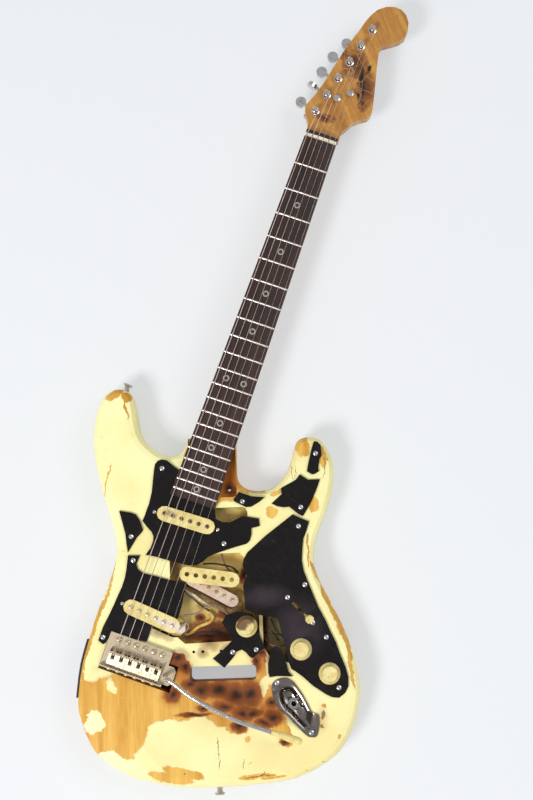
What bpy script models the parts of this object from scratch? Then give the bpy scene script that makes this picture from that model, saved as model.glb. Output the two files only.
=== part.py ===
"""A smashed electric guitar, put back together with its neck and bridge askew.

The guitar lies on its back. The origin is at the middle of the neck plate's outer face,
+Y runs along the body's centreline to the neck, +X is the treble side and +Z is out of the face.
Sizes are in metres. The outlines of the broken pieces are in millimetres, read by metres().
"""

import math

import bmesh
import bpy
from mathutils import Vector

# Clearances
SEAT_GAP = 0.0003       # between pieces that touch on the real guitar
RUNNING_GAP = 0.0004    # round what turns

# Body
BACK_PROUD = 0.002      # the neck plate and the back cover stand this far off the back
BODY_THICKNESS = 0.044
EDGE_RADIUS = 0.011
POCKET_DEPTH = 0.016
POCKET_HALF_WIDTH = 0.028
POCKET_END_Y = -0.036
HEEL_BLOCK = (-0.0285, 0.0285, -0.020, 0.037)
HEEL_BLOCK_CORNER = 0.004
HEEL_BLOCK_ROUNDING = 0.0015
CONTOUR_START = 0.0005      # off the face, where a scooped contour begins
POOL_DEPTH = 0.020
CONTROL_DEPTH = 0.035
PICKUP_ROUT_DEPTH = 0.018
SPRING_ROUT_DEPTH = 0.018
OLD_SLOT = (-0.0315, 0.0448, -0.246, -0.229)
OLD_SLOT_CORNER = 0.004
OLD_PIVOT_Y = -0.2125
OLD_PIVOT_RADIUS = 0.0018
OLD_PIVOT_DEPTH = 0.015

# Neck, in its own frame: +Y to the nut, from the middle of the saddle line
SADDLE_LINE = (-0.0890, -0.2116)
NECK_SKEW = math.radians(20.87)
SCALE_LENGTH = 0.6477
FRET_COUNT = 21
NUT_WIDTH = 0.040
NECK_END_WIDTH = 0.0545
BOARD_OVERHANG = 0.0085     # from the last fret to the end of the board
BOARD_PAST_NUT = 0.0088
BOARD_THICKNESS = 0.0047
BOARD_RADIUS = 0.241
FRET_HEIGHT = 0.0011
FRET_WIDTH = 0.0022
FRET_TOP_ABOVE_FACE = 0.0095
NUT_THICKNESS = 0.0033
NUT_SLOT_DEPTH = 0.0030
HEEL_LENGTH = 0.084
NECK_DEPTH_AT_HEEL = 0.0172
NECK_DEPTH_AT_NUT = 0.0158
BOLT_SPACING_X = 0.038
BOLT_SPACING_Y = 0.051
BOLT_RADIUS = 0.0021
BOLT_LENGTH = 0.041
NECK_PLATE_X = 0.051
NECK_PLATE_Y = 0.064
NECK_PLATE_CORNER = 0.004

# Headstock
HEAD_THICKNESS = 0.0135
HEAD_DROP = 0.0100          # from the fret tops down to the headstock's face
POST_RADIUS = 0.0032
POST_HEIGHT = 0.0115        # above the headstock's face
POST_PITCH = 0.02547
POST_LINE_LEAN = math.radians(15.0)
FIRST_POST = (-0.0184, 0.0358)      # from the nut's middle
GEARBOX_DEPTH = 0.0095
GEARBOX_BASS_SIDE = 0.0115
GEARBOX_TREBLE_SIDE = 0.0075
GEARBOX_SHIFT = 0.0042      # of the row of gearboxes, along the posts
WORM_DROP = 0.0046          # below the headstock's back
SHAFT_RADIUS = 0.0019
# Each button's distance from its post, out and along the row, from the nut up. The last one has
# snapped off: its shaft ends this far out.
BUTTON_PLACES = (
    (0.0246, 0.0063), (0.0246, 0.0068), (0.0249, 0.0026), (0.0246, 0.0012), (0.0197, 0.0),
    (0.0142, 0.0),
)
SNAPPED_BUTTON = 5
EDGE_ON_BUTTON = 1
BUTTON_RADIUS = 0.0067
BUTTON_THICKNESS = 0.0052
TREE_RADIUS = 0.0044
TREE_STEM_RADIUS = 0.0015
TREE_HEIGHT = 0.0038
STRING_BELOW_TREE = 0.0009

# Strings, from the bass side to the treble side
STRING_RADII = (0.00058, 0.00047, 0.00034, 0.00022, 0.00018, 0.00015)
BRIDGE_PITCH = 0.0105
NUT_PITCH = 0.0069
STRING_ABOVE_FRETS_AT_NUT = 0.0010
STRING_ABOVE_FRETS_AT_SADDLE = 0.0041
WINDING_TURNS = 1.25

# Vibrato bridge, in the neck's frame
PLATE_LIFT = 0.0036         # under the bridge plate
PLATE_THICKNESS = 0.0016
PLATE_BASS_X = -0.038
PLATE_TREBLE_X = 0.037
PLATE_FRONT_Y = 0.013
PLATE_REAR_Y = -0.027
LUG_X = 0.0475
LUG_FRONT_Y = -0.002
LUG_REAR_Y = -0.024
FLANGE_HEIGHT = 0.0075
PIVOT_Y = 0.0071
PIVOT_HOLE_RADIUS = 0.0021
STRING_HOLE_Y = -0.0127
STRING_HOLE_RADIUS = 0.0019
SADDLE_WIDTH = 0.0102
SADDLE_FRONT_Y = -0.0035
SADDLE_REAR_Y = -0.0235
SADDLE_WALL = 0.0013
SADDLE_SLOT_WIDTH = 0.0042
SADDLE_SLOT_LENGTH = 0.0068
BLOCK_THICKNESS = 0.0150
BLOCK_DEPTH = 0.0375
BLOCK_BASS_X = -0.034
BLOCK_TREBLE_X = 0.043
BLOCK_CLEARANCE = 0.0050
BLOCK_SWING_ROOM = 0.0110
ARM_SOCKET = (0.037, -0.014)
ARM_RADIUS = 0.0025
ARM_SEAT_DEPTH = 0.018
ARM_TIP_RADIUS = 0.0043
ARM_TIP_LENGTH = 0.036
SPRING_COUNT = 3
SPRING_RADIUS = 0.0042
SPRING_PITCH = 0.0160
SPRING_LENGTH = 0.060
SPRING_TROUGH_HALF_WIDTH = 0.026
CLAW_THICKNESS = 0.003
COVER_HALF_WIDTH = 0.048
COVER_FRONT_Y = 0.092
COVER_REAR_Y = -0.040
COVER_CORNER = 0.006

# Pickguard, pickups and controls
GUARD_THICKNESS = 0.002
SCREW_HOLE_RADIUS = 0.0015
PICKUP_LENGTH = 0.070
PICKUP_WIDTH = 0.0175
PICKUP_COVER_HEIGHT = 0.0140
PICKUP_COVER_WALL = 0.0012
PICKUP_ABOVE_GUARD = 0.0037
PICKUP_BASE_LENGTH = 0.083
PICKUP_BASE_WIDTH = 0.021
PICKUP_BASE_THICKNESS = 0.0024
BOBBIN_HEIGHT = 0.0110          # from the coil's top plate to its base
PICKUP_ROUT_CLEARANCE = 0.002
COIL_INSET = 0.0022
POLE_PITCH = 0.0104
POLE_RADIUS = 0.0024
POLE_HEIGHT = 0.0009
NECK_PICKUP_Y = 0.1606
BRIDGE_PICKUP_Y = 0.0439
NECK_PICKUP_SLANT = math.radians(2.0)
BRIDGE_PICKUP_SLANT = math.radians(-4.5)
LOOSE_COVER_PLACE = (-0.0058, -0.1280)
LOOSE_COVER_TURN = math.radians(-8.8)
LOOSE_COVER_LIFT = 0.0173       # above the floor of the open cavity
MIDDLE_PICKUP_PLACE = (-0.0035, -0.1425)
MIDDLE_PICKUP_TURN = math.radians(-29.3)
MIDDLE_PICKUP_TILT = math.radians(-12.0)
MIDDLE_PICKUP_LIFT = 0.0004
KNOB_RADIUS = 0.0125
KNOB_TOP_RADIUS = 0.0088
KNOB_HEIGHT = 0.0120
KNOB_LIFT = 0.0006
POT_RADIUS = 0.0118
POT_HEIGHT = 0.0105
POT_SHAFT_RADIUS = 0.0030
POT_SHAFT_HEIGHT = 0.0095
VOLUME_PLACE = (0.0353, -0.1854)
TONE_PLACES = ((0.0969, -0.2132), (0.1286, -0.2414))
SELECTOR_PLACE = (0.0975, -0.1688)
SELECTOR_TURN = math.radians(-46.5)
SELECTOR_SWING = math.radians(51.0)
SELECTOR_PIVOT_DEPTH = 0.0180
SELECTOR_BLADE_LENGTH = 0.0265
SELECTOR_BLADE_WIDTH = 0.0038
SELECTOR_BLADE_THICKNESS = 0.0016
SELECTOR_TIP_RADIUS = 0.0050
SELECTOR_TIP_LENGTH = 0.0115
SELECTOR_SLOT_LENGTH = 0.0240
SELECTOR_SLOT_WIDTH = 0.0034
SELECTOR_FRAME_LENGTH = 0.0320
SELECTOR_FRAME_WIDTH = 0.0105
SELECTOR_FRAME_DEPTH = 0.0235
JACK_PLACE = (0.0867, -0.2746)
JACK_BORE = 0.00635
JACK_TUBE_WALL = 0.0013
JACK_TUBE_LENGTH = 0.016
JACK_PLATE_THICKNESS = 0.0014
JACK_CUP_DEPTH = 0.0110
JACK_CUP_SHARE = 0.72           # of the plate's outline, at the cup's mouth
JACK_FLOOR_SHARE = 0.38
JACK_ROUT_SHARE = 0.77
BUTTON_LENGTH = 0.0095          # strap buttons
BUTTON_HEAD_RADIUS = 0.0062
BUTTON_NECK_RADIUS = 0.0034
TOP_BUTTON_PLACE = (-0.1021, 0.0964)
TOP_BUTTON_TURN = math.radians(-22.0)
BOTTOM_BUTTON_PLACE = (-0.0010, -0.3655)
BOTTOM_BUTTON_TURN = math.radians(180.0)
SIDE_STRIP_THICKNESS = 0.0020
SIDE_STRIP_HEIGHT = 0.022
SIDE_STRIP_RANGE = (-0.270, -0.182)
CABLE_RADIUS = 0.0021

# Facets
ROUND_STEPS = 12
HOLE_STEPS = 6
EDGE_STEPS = 2
WELD = 0.000002

# Heights that follow
BACK_Z = BACK_PROUD
FACE_Z = BACK_Z + BODY_THICKNESS
POOL_Z = FACE_Z - POOL_DEPTH
POCKET_Z = FACE_Z - POCKET_DEPTH
GUARD_LOW = FACE_Z + SEAT_GAP
GUARD_TOP = GUARD_LOW + GUARD_THICKNESS
FRET_TOP_Z = FACE_Z + FRET_TOP_ABOVE_FACE
BOARD_TOP_Z = FRET_TOP_Z - FRET_HEIGHT
BOARD_LOW_Z = BOARD_TOP_Z - BOARD_THICKNESS
NECK_TOP_Z = BOARD_LOW_Z - SEAT_GAP
HEAD_Z = FRET_TOP_Z - HEAD_DROP
HEAD_BACK_Z = HEAD_Z - HEAD_THICKNESS
PLATE_LOW = FACE_Z + PLATE_LIFT
PLATE_TOP = PLATE_LOW + PLATE_THICKNESS
NUT_STRING_Z = FRET_TOP_Z + STRING_ABOVE_FRETS_AT_NUT
SADDLE_STRING_Z = FRET_TOP_Z + STRING_ABOVE_FRETS_AT_SADDLE
LAST_FRET_Y = SCALE_LENGTH / 2 ** (FRET_COUNT / 12)
NECK_END_Y = LAST_FRET_Y - BOARD_OVERHANG
BOARD_END_Y = SCALE_LENGTH + BOARD_PAST_NUT
BLOCK_LOW = PLATE_LOW - SEAT_GAP - BLOCK_DEPTH
BLOCK_FRONT_Y = STRING_HOLE_Y + BLOCK_THICKNESS / 2
BLOCK_REAR_Y = STRING_HOLE_Y - BLOCK_THICKNESS / 2
STRING_COUNT = len(STRING_RADII)

# The body's outline, from the heel block's bass corner round to its treble corner
BODY_EDGE = (
    (-28, 36), (-29.5, 29), (-34, 22), (-40.5, 16.5), (-50.5, 15.5), (-61.5, 18.5), (-71.5, 26),
    (-79.5, 34.5),
    (-84.5, 45), (-87, 57), (-88.5, 70), (-90.5, 80), (-95, 92), (-108, 97.5), (-119, 95),
    (-129, 86), (-136, 67), (-140, 38), (-137, 9), (-128, -30), (-117, -68), (-113.5, -92),
    (-118, -115), (-128.5, -142), (-139.2, -168), (-147.8, -195), (-155.6, -222), (-159.8, -250),
    (-161, -270), (-157.2, -288), (-146, -315), (-130, -333), (-96, -352), (-48, -363), (0, -365),
    (44, -363), (86, -358), (123, -341), (142, -324), (156, -298), (163, -271), (164, -253),
    (159, -225), (150, -197), (138, -169), (124, -141), (117, -122), (116, -108), (120, -85),
    (132, -57), (141, -28), (143, -5), (140, 10), (129, 29), (117, 33), (105, 31), (99, 24),
    (95, 11), (92, 2), (88, -8), (81, -17), (71.5, -25.5), (61.5, -28.5), (53, -29), (42, -27),
    (33.5, -21.5), (29.5, -14), (28.5, -3), (28.5, 12), (28.5, 36),
)
POOL_EDGE = (
    (-52, -101), (30, -101), (36, -108), (36, -160), (50, -172), (50, -198), (40, -201),
    (-36, -203), (-44, -196), (-44, -180), (-52, -172),
)
CONTROL_EDGE = (
    (54, -163), (74, -160), (80, -144), (90, -140), (104, -150), (124, -182), (138, -212),
    (147, -238), (144, -254), (130, -259), (108, -240), (86, -229), (62, -222), (54, -210),
)

# The broken pickguard, piece by piece
GUARD_UPPER_EDGE = (
    (-68, -1.6), (-66.7, 5.4), (-63.1, 9.3), (-58, 10.5), (-52.5, 9.2), (-38.8, -2.7),
    (-49.9, -30.3), (2.2, -50.2), (3, -61), (11, -65),
    (19.5, -65.5), (29.5, -61), (34.5, -58.5), (39, -59.5), (53, -62), (54, -71), (44, -73),
    (44, -80.5), (41.5, -88), (38, -91), (26, -94), (14, -97.5), (-1, -102), (-7.5, -105),
    (-13, -110), (-20, -113.5), (-30, -113.8), (-37, -112), (-45, -109.5), (-51.5, -108),
    (-68, -102.5), (-79.5, -100), (-73.5, -92), (-70.5, -84), (-70, -79), (-72, -74),
    (-77.5, -67.5), (-82.5, -60.5), (-79.5, -54), (-77, -47), (-74.5, -41), (-71, -27),
    (-69.5, -13.5),
)
GUARD_LEFT_CHIP_EDGE = (
    (-109.5, -48), (-96, -50.5), (-90, -53), (-85.5, -60), (-82, -71), (-83.5, -74), (-89.5, -80),
    (-94.5, -88), (-100, -96.5), (-101.5, -86.5), (-102.5, -75.5), (-105.5, -63.5),
)
GUARD_LOWER_LEFT_EDGE = (
    (-100, -100), (-86, -100.5), (-90.5, -110.5), (-88.5, -116.5), (-82.5, -121), (-69, -124.5),
    (-53, -129.5), (-45.5, -131), (-35, -134), (-35.5, -142), (-38, -157.5), (-43.5, -174),
    (-56, -178), (-74, -183), (-79.5, -199), (-98.5, -194.5), (-117, -189.5), (-122, -190.5),
    (-127, -199), (-130, -200.5), (-135.5, -196), (-129.5, -180), (-122.5, -167), (-117, -156),
    (-112, -145), (-107.5, -136), (-104, -126), (-102, -116),
)
GUARD_RIGHT_EDGE = (
    (92.5, -58.5), (99.5, -62), (111.5, -67.5), (108, -78), (104, -87.5), (102.5, -99.5),
    (101.5, -112.5), (103.5, -125), (109, -140), (118.5, -165.5), (126, -180.5), (132, -195),
    (137.5, -207), (142, -221), (147, -234), (150, -246), (149.5, -256.5), (145.5, -264),
    (138.5, -269), (130.5, -268), (123.5, -264.5), (109, -254.5), (99.5, -245.5), (90, -238),
    (85, -235), (82.5, -228), (81, -220), (80, -210), (75.5, -196), (73, -185), (70.5, -177),
    (60, -174.5), (53, -173.5), (43, -170), (34, -166), (33.5, -150), (32.5, -139.5), (36.5, -128),
    (35, -121), (32.5, -116), (34, -108.5), (38.5, -101), (49, -92), (60, -82.5), (71.5, -74),
    (82.5, -66),
)
GUARD_CUTAWAY_CHIP_EDGE = (
    (30.5, -30.5), (46, -36), (61, -37.5), (54, -43), (45, -48), (38.5, -48.5), (24.5, -41),
    (24.3, -38.5),
)
GUARD_HORN_EDGE = (
    (80, -27.5), (97.5, -18.5), (102.5, -12), (106, -14.5), (112, -18.5), (126, -18.5),
    (121, -31.5), (115, -44), (110.5, -52), (104.5, -61), (99.5, -58.5), (89, -49.5),
    (82.5, -50), (75, -48.5), (68.5, -45), (80.5, -34.5),
)
GUARD_HORN_STRIP_EDGE = (
    (120.5, 26.5), (124.5, 26), (128.5, 21.5), (129, 9.5), (126.5, 5.5), (124.5, -5.5),
    (125.5, -9), (120.5, -12), (117, -12.5), (111, -8.5), (113.5, 2.5), (117, 16.5),
)
GUARD_VOLUME_EDGE = (
    (43, -172), (46, -186), (49.5, -194), (55.5, -210.5), (51.5, -213), (46.5, -217.5),
    (40.5, -221.5), (37.5, -219.5), (33.5, -214.5), (29, -211.5), (22, -214), (20, -219),
    (8.5, -231.5), (-4.5, -220.5), (5, -213), (13, -206), (19, -200), (14, -192), (7, -180),
    (12, -172), (25, -168), (36, -170),
)
GUARD_JACK_CHIP_EDGE = (
    (60.5, -220.5), (58.5, -228.5), (58.5, -238.5), (60, -243.5), (69, -242.5), (86.5, -243.5),
    (82, -238), (80, -230), (77.5, -220), (74, -212), (66.5, -209), (62, -214),
)
JACK_PLATE_EDGE = (
    (62.5, -252), (68, -246.5), (78, -245), (85, -248), (90.5, -254.5), (97, -264.5),
    (102.5, -275), (107, -284), (114, -287.5), (115, -294.5), (113.5, -305), (111, -311),
    (105, -311.5), (100, -309.5), (90.5, -300), (80, -288.5), (70.5, -280), (65, -271),
    (62.5, -261),
)

# The headstock's outline in the neck's frame, from the nut's middle, bass side first
HEAD_EDGE = (
    (-20.5, 9), (-21, 17.5), (-27.2, 27.2), (-31, 34.3), (-31.7, 40.4), (-30.2, 44.8),
    (-25.7, 55.6), (-19.9, 75.5), (-15.2, 98.1), (-8.8, 126.2), (-0.4, 153.5), (3.5, 168.4),
    (7.1, 177.2), (12.5, 186.8), (21.6, 194), (31.6, 197.3), (40.5, 196.4), (48.1, 191.8),
    (54, 183.3), (56.5, 172.5), (55.8, 163.2), (50.9, 156.5), (42.6, 150.1), (33.2, 143.8),
    (30.7, 139.2), (32.4, 129.1), (34.8, 117.2), (39.2, 98.5), (43.3, 80.8), (47.3, 62),
    (47.6, 54.1), (44.9, 48.7), (36.4, 42.9), (29.5, 37), (25.1, 28.9), (20.1, 20.9), (20.5, 9),
)
TREE_PLACES = ((15.4, 71), (1.8, 59.3))

# The vibrato arm and the loose cable, (x, y, z) in the body's frame
ARM_ROUTE = (
    (-51.8, -243.6, 70.5), (-46.4, -247.5, 71), (-29.9, -260.6, 71.5), (-7.5, -273.8, 72),
    (8.8, -282.1, 72.3), (21.6, -288.4, 72.5), (40.3, -295.3, 72.8), (60, -302.2, 73),
)
CABLE_ROUTE = (
    (-37.5, -192, 29.5), (-33, -193.5, 30), (-27, -189.5, 31), (-20.5, -184.5, 32),
    (-8, -179.5, 31.5), (-4, -174.5, 30.5), (-6, -170, 29.5), (-11, -168, 28.6),
)

# Colours and finishes: colour, roughness, metallic
FINISHES = {
    "cream_paint": ((0.93, 0.88, 0.45), 0.35, 0.0),
    "maple": ((0.50, 0.28, 0.08), 0.40, 0.0),
    "rosewood": ((0.030, 0.012, 0.010), 0.55, 0.0),
    "bone": ((0.85, 0.80, 0.65), 0.45, 0.0),
    "steel_wire": ((0.62, 0.60, 0.58), 0.30, 1.0),
    "chrome": ((0.72, 0.72, 0.72), 0.12, 1.0),
    "worn_nickel": ((0.55, 0.47, 0.33), 0.35, 1.0),
    "aged_plastic": ((0.75, 0.66, 0.32), 0.45, 0.0),
    "white_plastic": ((0.85, 0.84, 0.75), 0.45, 0.0),
    "black_guard": ((0.012, 0.007, 0.007), 0.25, 0.0),
    "cable": ((0.70, 0.50, 0.10), 0.50, 0.0),
    "black_rubber": ((0.02, 0.02, 0.02), 0.60, 0.0),
}


def metres(points):
    """Points in millimetres as points in metres."""
    return [tuple(value / 1000 for value in point) for point in points]


def from_nut(points):
    """Headstock points in millimetres from the nut, as metres in the neck's frame."""
    return [(x, y + SCALE_LENGTH) for x, y in metres(points)]


def new_collection(name, hidden=False):
    group = bpy.data.collections.new(name)
    bpy.context.scene.collection.children.link(group)
    group.hide_render = hidden
    return group


def new_material(name):
    colour, roughness, metallic = FINISHES[name]
    material = bpy.data.materials.new(name)
    material.use_nodes = True
    shader = material.node_tree.nodes["Principled BSDF"]
    shader.inputs["Base Color"].default_value = (*colour, 1)
    shader.inputs["Roughness"].default_value = roughness
    shader.inputs["Metallic"].default_value = metallic
    return material


def new_object(name, data, parent=None):
    """An object with no material yet, which starts as a cutter until finish() makes it a part."""
    obj = bpy.data.objects.new(name, data)
    CUTTERS.objects.link(obj)
    obj.hide_render = True
    obj.display_type = "WIRE"
    obj.parent = parent
    return obj


def finish(obj, finish_name):
    """Makes the object one of the guitar's parts."""
    CUTTERS.objects.unlink(obj)
    PARTS.objects.link(obj)
    obj.hide_render = False
    obj.display_type = "TEXTURED"
    material = bpy.data.materials.get(finish_name) or new_material(finish_name)
    obj.data.materials.clear()
    obj.data.materials.append(material)
    obj.data.shade_smooth()
    obj.data.set_sharp_from_angle(angle=math.radians(35))
    return obj


def combine(target, operation, others):
    for other in others:
        boolean = target.modifiers.new(f"{operation.title()} {other.name}", "BOOLEAN")
        boolean.operation = operation
        boolean.object = other
    return target


def cut(target, *cutters):
    return combine(target, "DIFFERENCE", cutters)


def join(target, *others):
    return combine(target, "UNION", others)


def mesh_of(curve_object):
    """The closed mesh of a curve object, with its caps welded to its sides."""
    graph = bpy.context.evaluated_depsgraph_get()
    mesh = bpy.data.meshes.new_from_object(curve_object.evaluated_get(graph))
    work = bmesh.new()
    work.from_mesh(mesh)
    bmesh.ops.remove_doubles(work, verts=work.verts, dist=WELD)
    bmesh.ops.recalc_face_normals(work, faces=work.faces)
    work.to_mesh(mesh)
    work.free()
    return mesh


def curve_piece(name, curve, parent):
    """Turns curve data into a mesh object of the same name."""
    guide = bpy.data.objects.new(name, curve)
    CUTTERS.objects.link(guide)
    bpy.context.view_layer.update()
    mesh = mesh_of(guide)
    bpy.data.objects.remove(guide)
    bpy.data.curves.remove(curve)
    return new_object(name, mesh, parent)


def plate(name, loops, low, high, rounding=0.0, parent=None):
    """A flat piece between two heights from closed outlines: the outer one, then its holes."""
    curve = bpy.data.curves.new(name, "CURVE")
    curve.dimensions = "2D"
    curve.fill_mode = "BOTH"
    curve.extrude = (high - low) / 2 - rounding
    curve.bevel_depth = rounding
    curve.bevel_resolution = EDGE_STEPS
    curve.offset = -rounding
    for loop in loops:
        spline = curve.splines.new("POLY")
        spline.points.add(len(loop) - 1)
        for point, (x, y) in zip(spline.points, loop):
            point.co = (x, y, 0, 1)
        spline.use_cyclic_u = True
    obj = curve_piece(name, curve, parent)
    obj.location.z = (low + high) / 2
    return obj


def side_plate(name, profile, middle_x, width, parent):
    """A profile drawn in the YZ plane, given its width along X."""
    obj = plate(name, [[(y, z) for y, z in profile]], -width / 2, width / 2, parent=parent)
    obj.rotation_euler = (math.pi / 2, 0, math.pi / 2)
    obj.location = (middle_x, 0, 0)
    return obj


def tube(name, points, radius, resolution=1, parent=None):
    """A round wire through the points."""
    curve = bpy.data.curves.new(name, "CURVE")
    curve.dimensions = "3D"
    curve.bevel_depth = radius
    curve.bevel_resolution = resolution
    curve.use_fill_caps = True
    spline = curve.splines.new("POLY")
    spline.points.add(len(points) - 1)
    for point, place in zip(spline.points, points):
        point.co = (*place, 1)
    return curve_piece(name, curve, parent)


def turned(name, profile, parent=None, steps=ROUND_STEPS):
    """A turned piece about Z from (radius, height) points, down its outer side from the top."""
    mesh = bpy.data.meshes.new(name)
    edges = [(index, index + 1) for index in range(len(profile) - 1)]
    mesh.from_pydata([(radius, 0, height) for radius, height in profile], edges, [])
    obj = new_object(name, mesh, parent)
    screw = obj.modifiers.new("Turn", "SCREW")
    screw.steps = steps
    screw.render_steps = steps
    screw.use_merge_vertices = True
    screw.merge_threshold = WELD
    return obj


def box(name, low, high, parent=None):
    """A box between two corners."""
    work = bmesh.new()
    bmesh.ops.create_cube(work, size=1)
    size = Vector(high) - Vector(low)
    middle = (Vector(high) + Vector(low)) / 2
    bmesh.ops.scale(work, vec=size, verts=work.verts)
    mesh = bpy.data.meshes.new(name)
    work.to_mesh(mesh)
    work.free()
    obj = new_object(name, mesh, parent)
    obj.location = middle
    return obj


def rod(name, radius, low, high, place, parent=None, steps=ROUND_STEPS):
    """An upright cylinder between two heights."""
    work = bmesh.new()
    bmesh.ops.create_cone(
        work, cap_ends=True, segments=steps, radius1=radius, radius2=radius, depth=high - low
    )
    mesh = bpy.data.meshes.new(name)
    work.to_mesh(mesh)
    work.free()
    obj = new_object(name, mesh, parent)
    obj.location = (place[0], place[1], (low + high) / 2)
    return obj


def loft(name, rings, parent=None):
    """A closed skin over rings of points, the first and the last ring capped."""
    work = bmesh.new()
    rows = [[work.verts.new(point) for point in ring] for ring in rings]
    count = len(rows[0])
    for lower, upper in zip(rows, rows[1:]):
        for index in range(count):
            after = (index + 1) % count
            work.faces.new((lower[index], lower[after], upper[after], upper[index]))
    work.faces.new(rows[0][::-1])
    work.faces.new(rows[-1])
    bmesh.ops.recalc_face_normals(work, faces=work.faces)
    mesh = bpy.data.meshes.new(name)
    work.to_mesh(mesh)
    work.free()
    return new_object(name, mesh, parent)


def smooth_run(points, steps):
    """Points along a smooth curve through the given ones, with its ends left as they are."""
    padded = [points[0], *points, points[-1]]
    run = []
    for before, start, end, after in zip(padded, padded[1:], padded[2:], padded[3:]):
        for step in range(steps):
            t = step / steps
            run.append(tuple(
                0.5 * (
                    2 * b + (c - a) * t + (2 * a - 5 * b + 4 * c - d) * t ** 2
                    + (3 * b - a - 3 * c + d) * t ** 3
                )
                for a, b, c, d in zip(before, start, end, after)
            ))
    run.append(tuple(points[-1]))
    return run


def circle(place, radius, steps=HOLE_STEPS):
    turns = [2 * math.pi * index / steps for index in range(steps)]
    return [(place[0] + radius * math.cos(t), place[1] + radius * math.sin(t)) for t in turns]


def stadium(length, width, steps=5):
    """A bar with round ends, along X."""
    radius = width / 2
    reach = length / 2 - radius
    ends = []
    for side in (1, -1):
        for step in range(steps + 1):
            angle = math.pi * (step / steps - 0.5)
            ends.append((side * (reach + radius * math.cos(angle)), side * radius * math.sin(angle)))
    return ends


def rectangle(low_x, high_x, low_y, high_y, corner=0.0, steps=2):
    """A rectangle with round corners."""
    if not corner:
        return [(low_x, low_y), (high_x, low_y), (high_x, high_y), (low_x, high_y)]
    middles = (
        (high_x - corner, high_y - corner, 0), (low_x + corner, high_y - corner, 90),
        (low_x + corner, low_y + corner, 180), (high_x - corner, low_y + corner, 270),
    )
    loop = []
    for x, y, start in middles:
        for step in range(steps + 1):
            angle = math.radians(start + 90 * step / steps)
            loop.append((x + corner * math.cos(angle), y + corner * math.sin(angle)))
    return loop


def placed(loop, place, turn):
    """An outline turned about the origin and then moved."""
    cosine = math.cos(turn)
    sine = math.sin(turn)
    return [
        (place[0] + x * cosine - y * sine, place[1] + x * sine + y * cosine) for x, y in loop
    ]


def in_body(place):
    """A point of the neck's frame in the body's frame."""
    return placed([place], SADDLE_LINE, -NECK_SKEW)[0]


def in_neck(place):
    """A point of the body's frame in the neck's frame."""
    moved = (place[0] - SADDLE_LINE[0], place[1] - SADDLE_LINE[1])
    return placed([moved], (0, 0), NECK_SKEW)[0]


def neck_width(y):
    """The fretboard's width, which tapers evenly from the nut to its last fret end."""
    share = (SCALE_LENGTH - y) / (SCALE_LENGTH - NECK_END_Y)
    return NUT_WIDTH + (NECK_END_WIDTH - NUT_WIDTH) * share


def camber(x):
    """How far the fretboard's round face lies below its crown."""
    return x ** 2 / (2 * BOARD_RADIUS)


def string_x(index, pitch):
    return (index - (STRING_COUNT - 1) / 2) * pitch


def tuner_place(index, out, along=0.0):
    """A point by a tuning post: out to the bass side, along the row towards the head's end."""
    travel = index * POST_PITCH + along
    x = FIRST_POST[0] + travel * math.sin(POST_LINE_LEAN) - out * math.cos(POST_LINE_LEAN)
    y = FIRST_POST[1] + travel * math.cos(POST_LINE_LEAN) + out * math.sin(POST_LINE_LEAN)
    return x, y + SCALE_LENGTH


def bolt_places():
    return [
        (x * BOLT_SPACING_X / 2, y * BOLT_SPACING_Y / 2) for x in (-1, 1) for y in (-1, 1)
    ]


def bolts_in_neck():
    """The bolts that still meet the heel. The fourth hole lies beside it and is empty."""
    held = []
    for place in bolt_places():
        x, y = in_neck(place)
        if abs(x) < neck_width(y) / 2 - BOLT_RADIUS and y > NECK_END_Y:
            held.append(place)
    return held


def contour(name, start, end, reach, drop, face_z, side):
    """A cutter that scoops the body's edge away beyond a line, deeper the further out.

    It starts clear of the face and fades out at both ends, so that it leaves no step.
    """
    run = Vector(end) - Vector(start)
    direction = run.normalized()
    steps = 7
    rings = []
    for share in (0.0, 0.09, 0.18, 0.27, 0.36, 0.45, 0.55, 0.64, 0.73, 0.82, 0.91, 1.0):
        foot = Vector(start) + run * share
        depth = drop * math.sin(math.pi * share)
        profile = [
            (reach * step / steps, side * (CONTOUR_START - depth * (step / steps) ** 2))
            for step in range(steps + 1)
        ]
        profile += [(reach, side * drop), (0.0, side * drop)]
        rings.append([
            (foot.x + direction.y * out, foot.y - direction.x * out, face_z + height)
            for out, height in profile
        ])
    return loft(name, rings)


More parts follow.
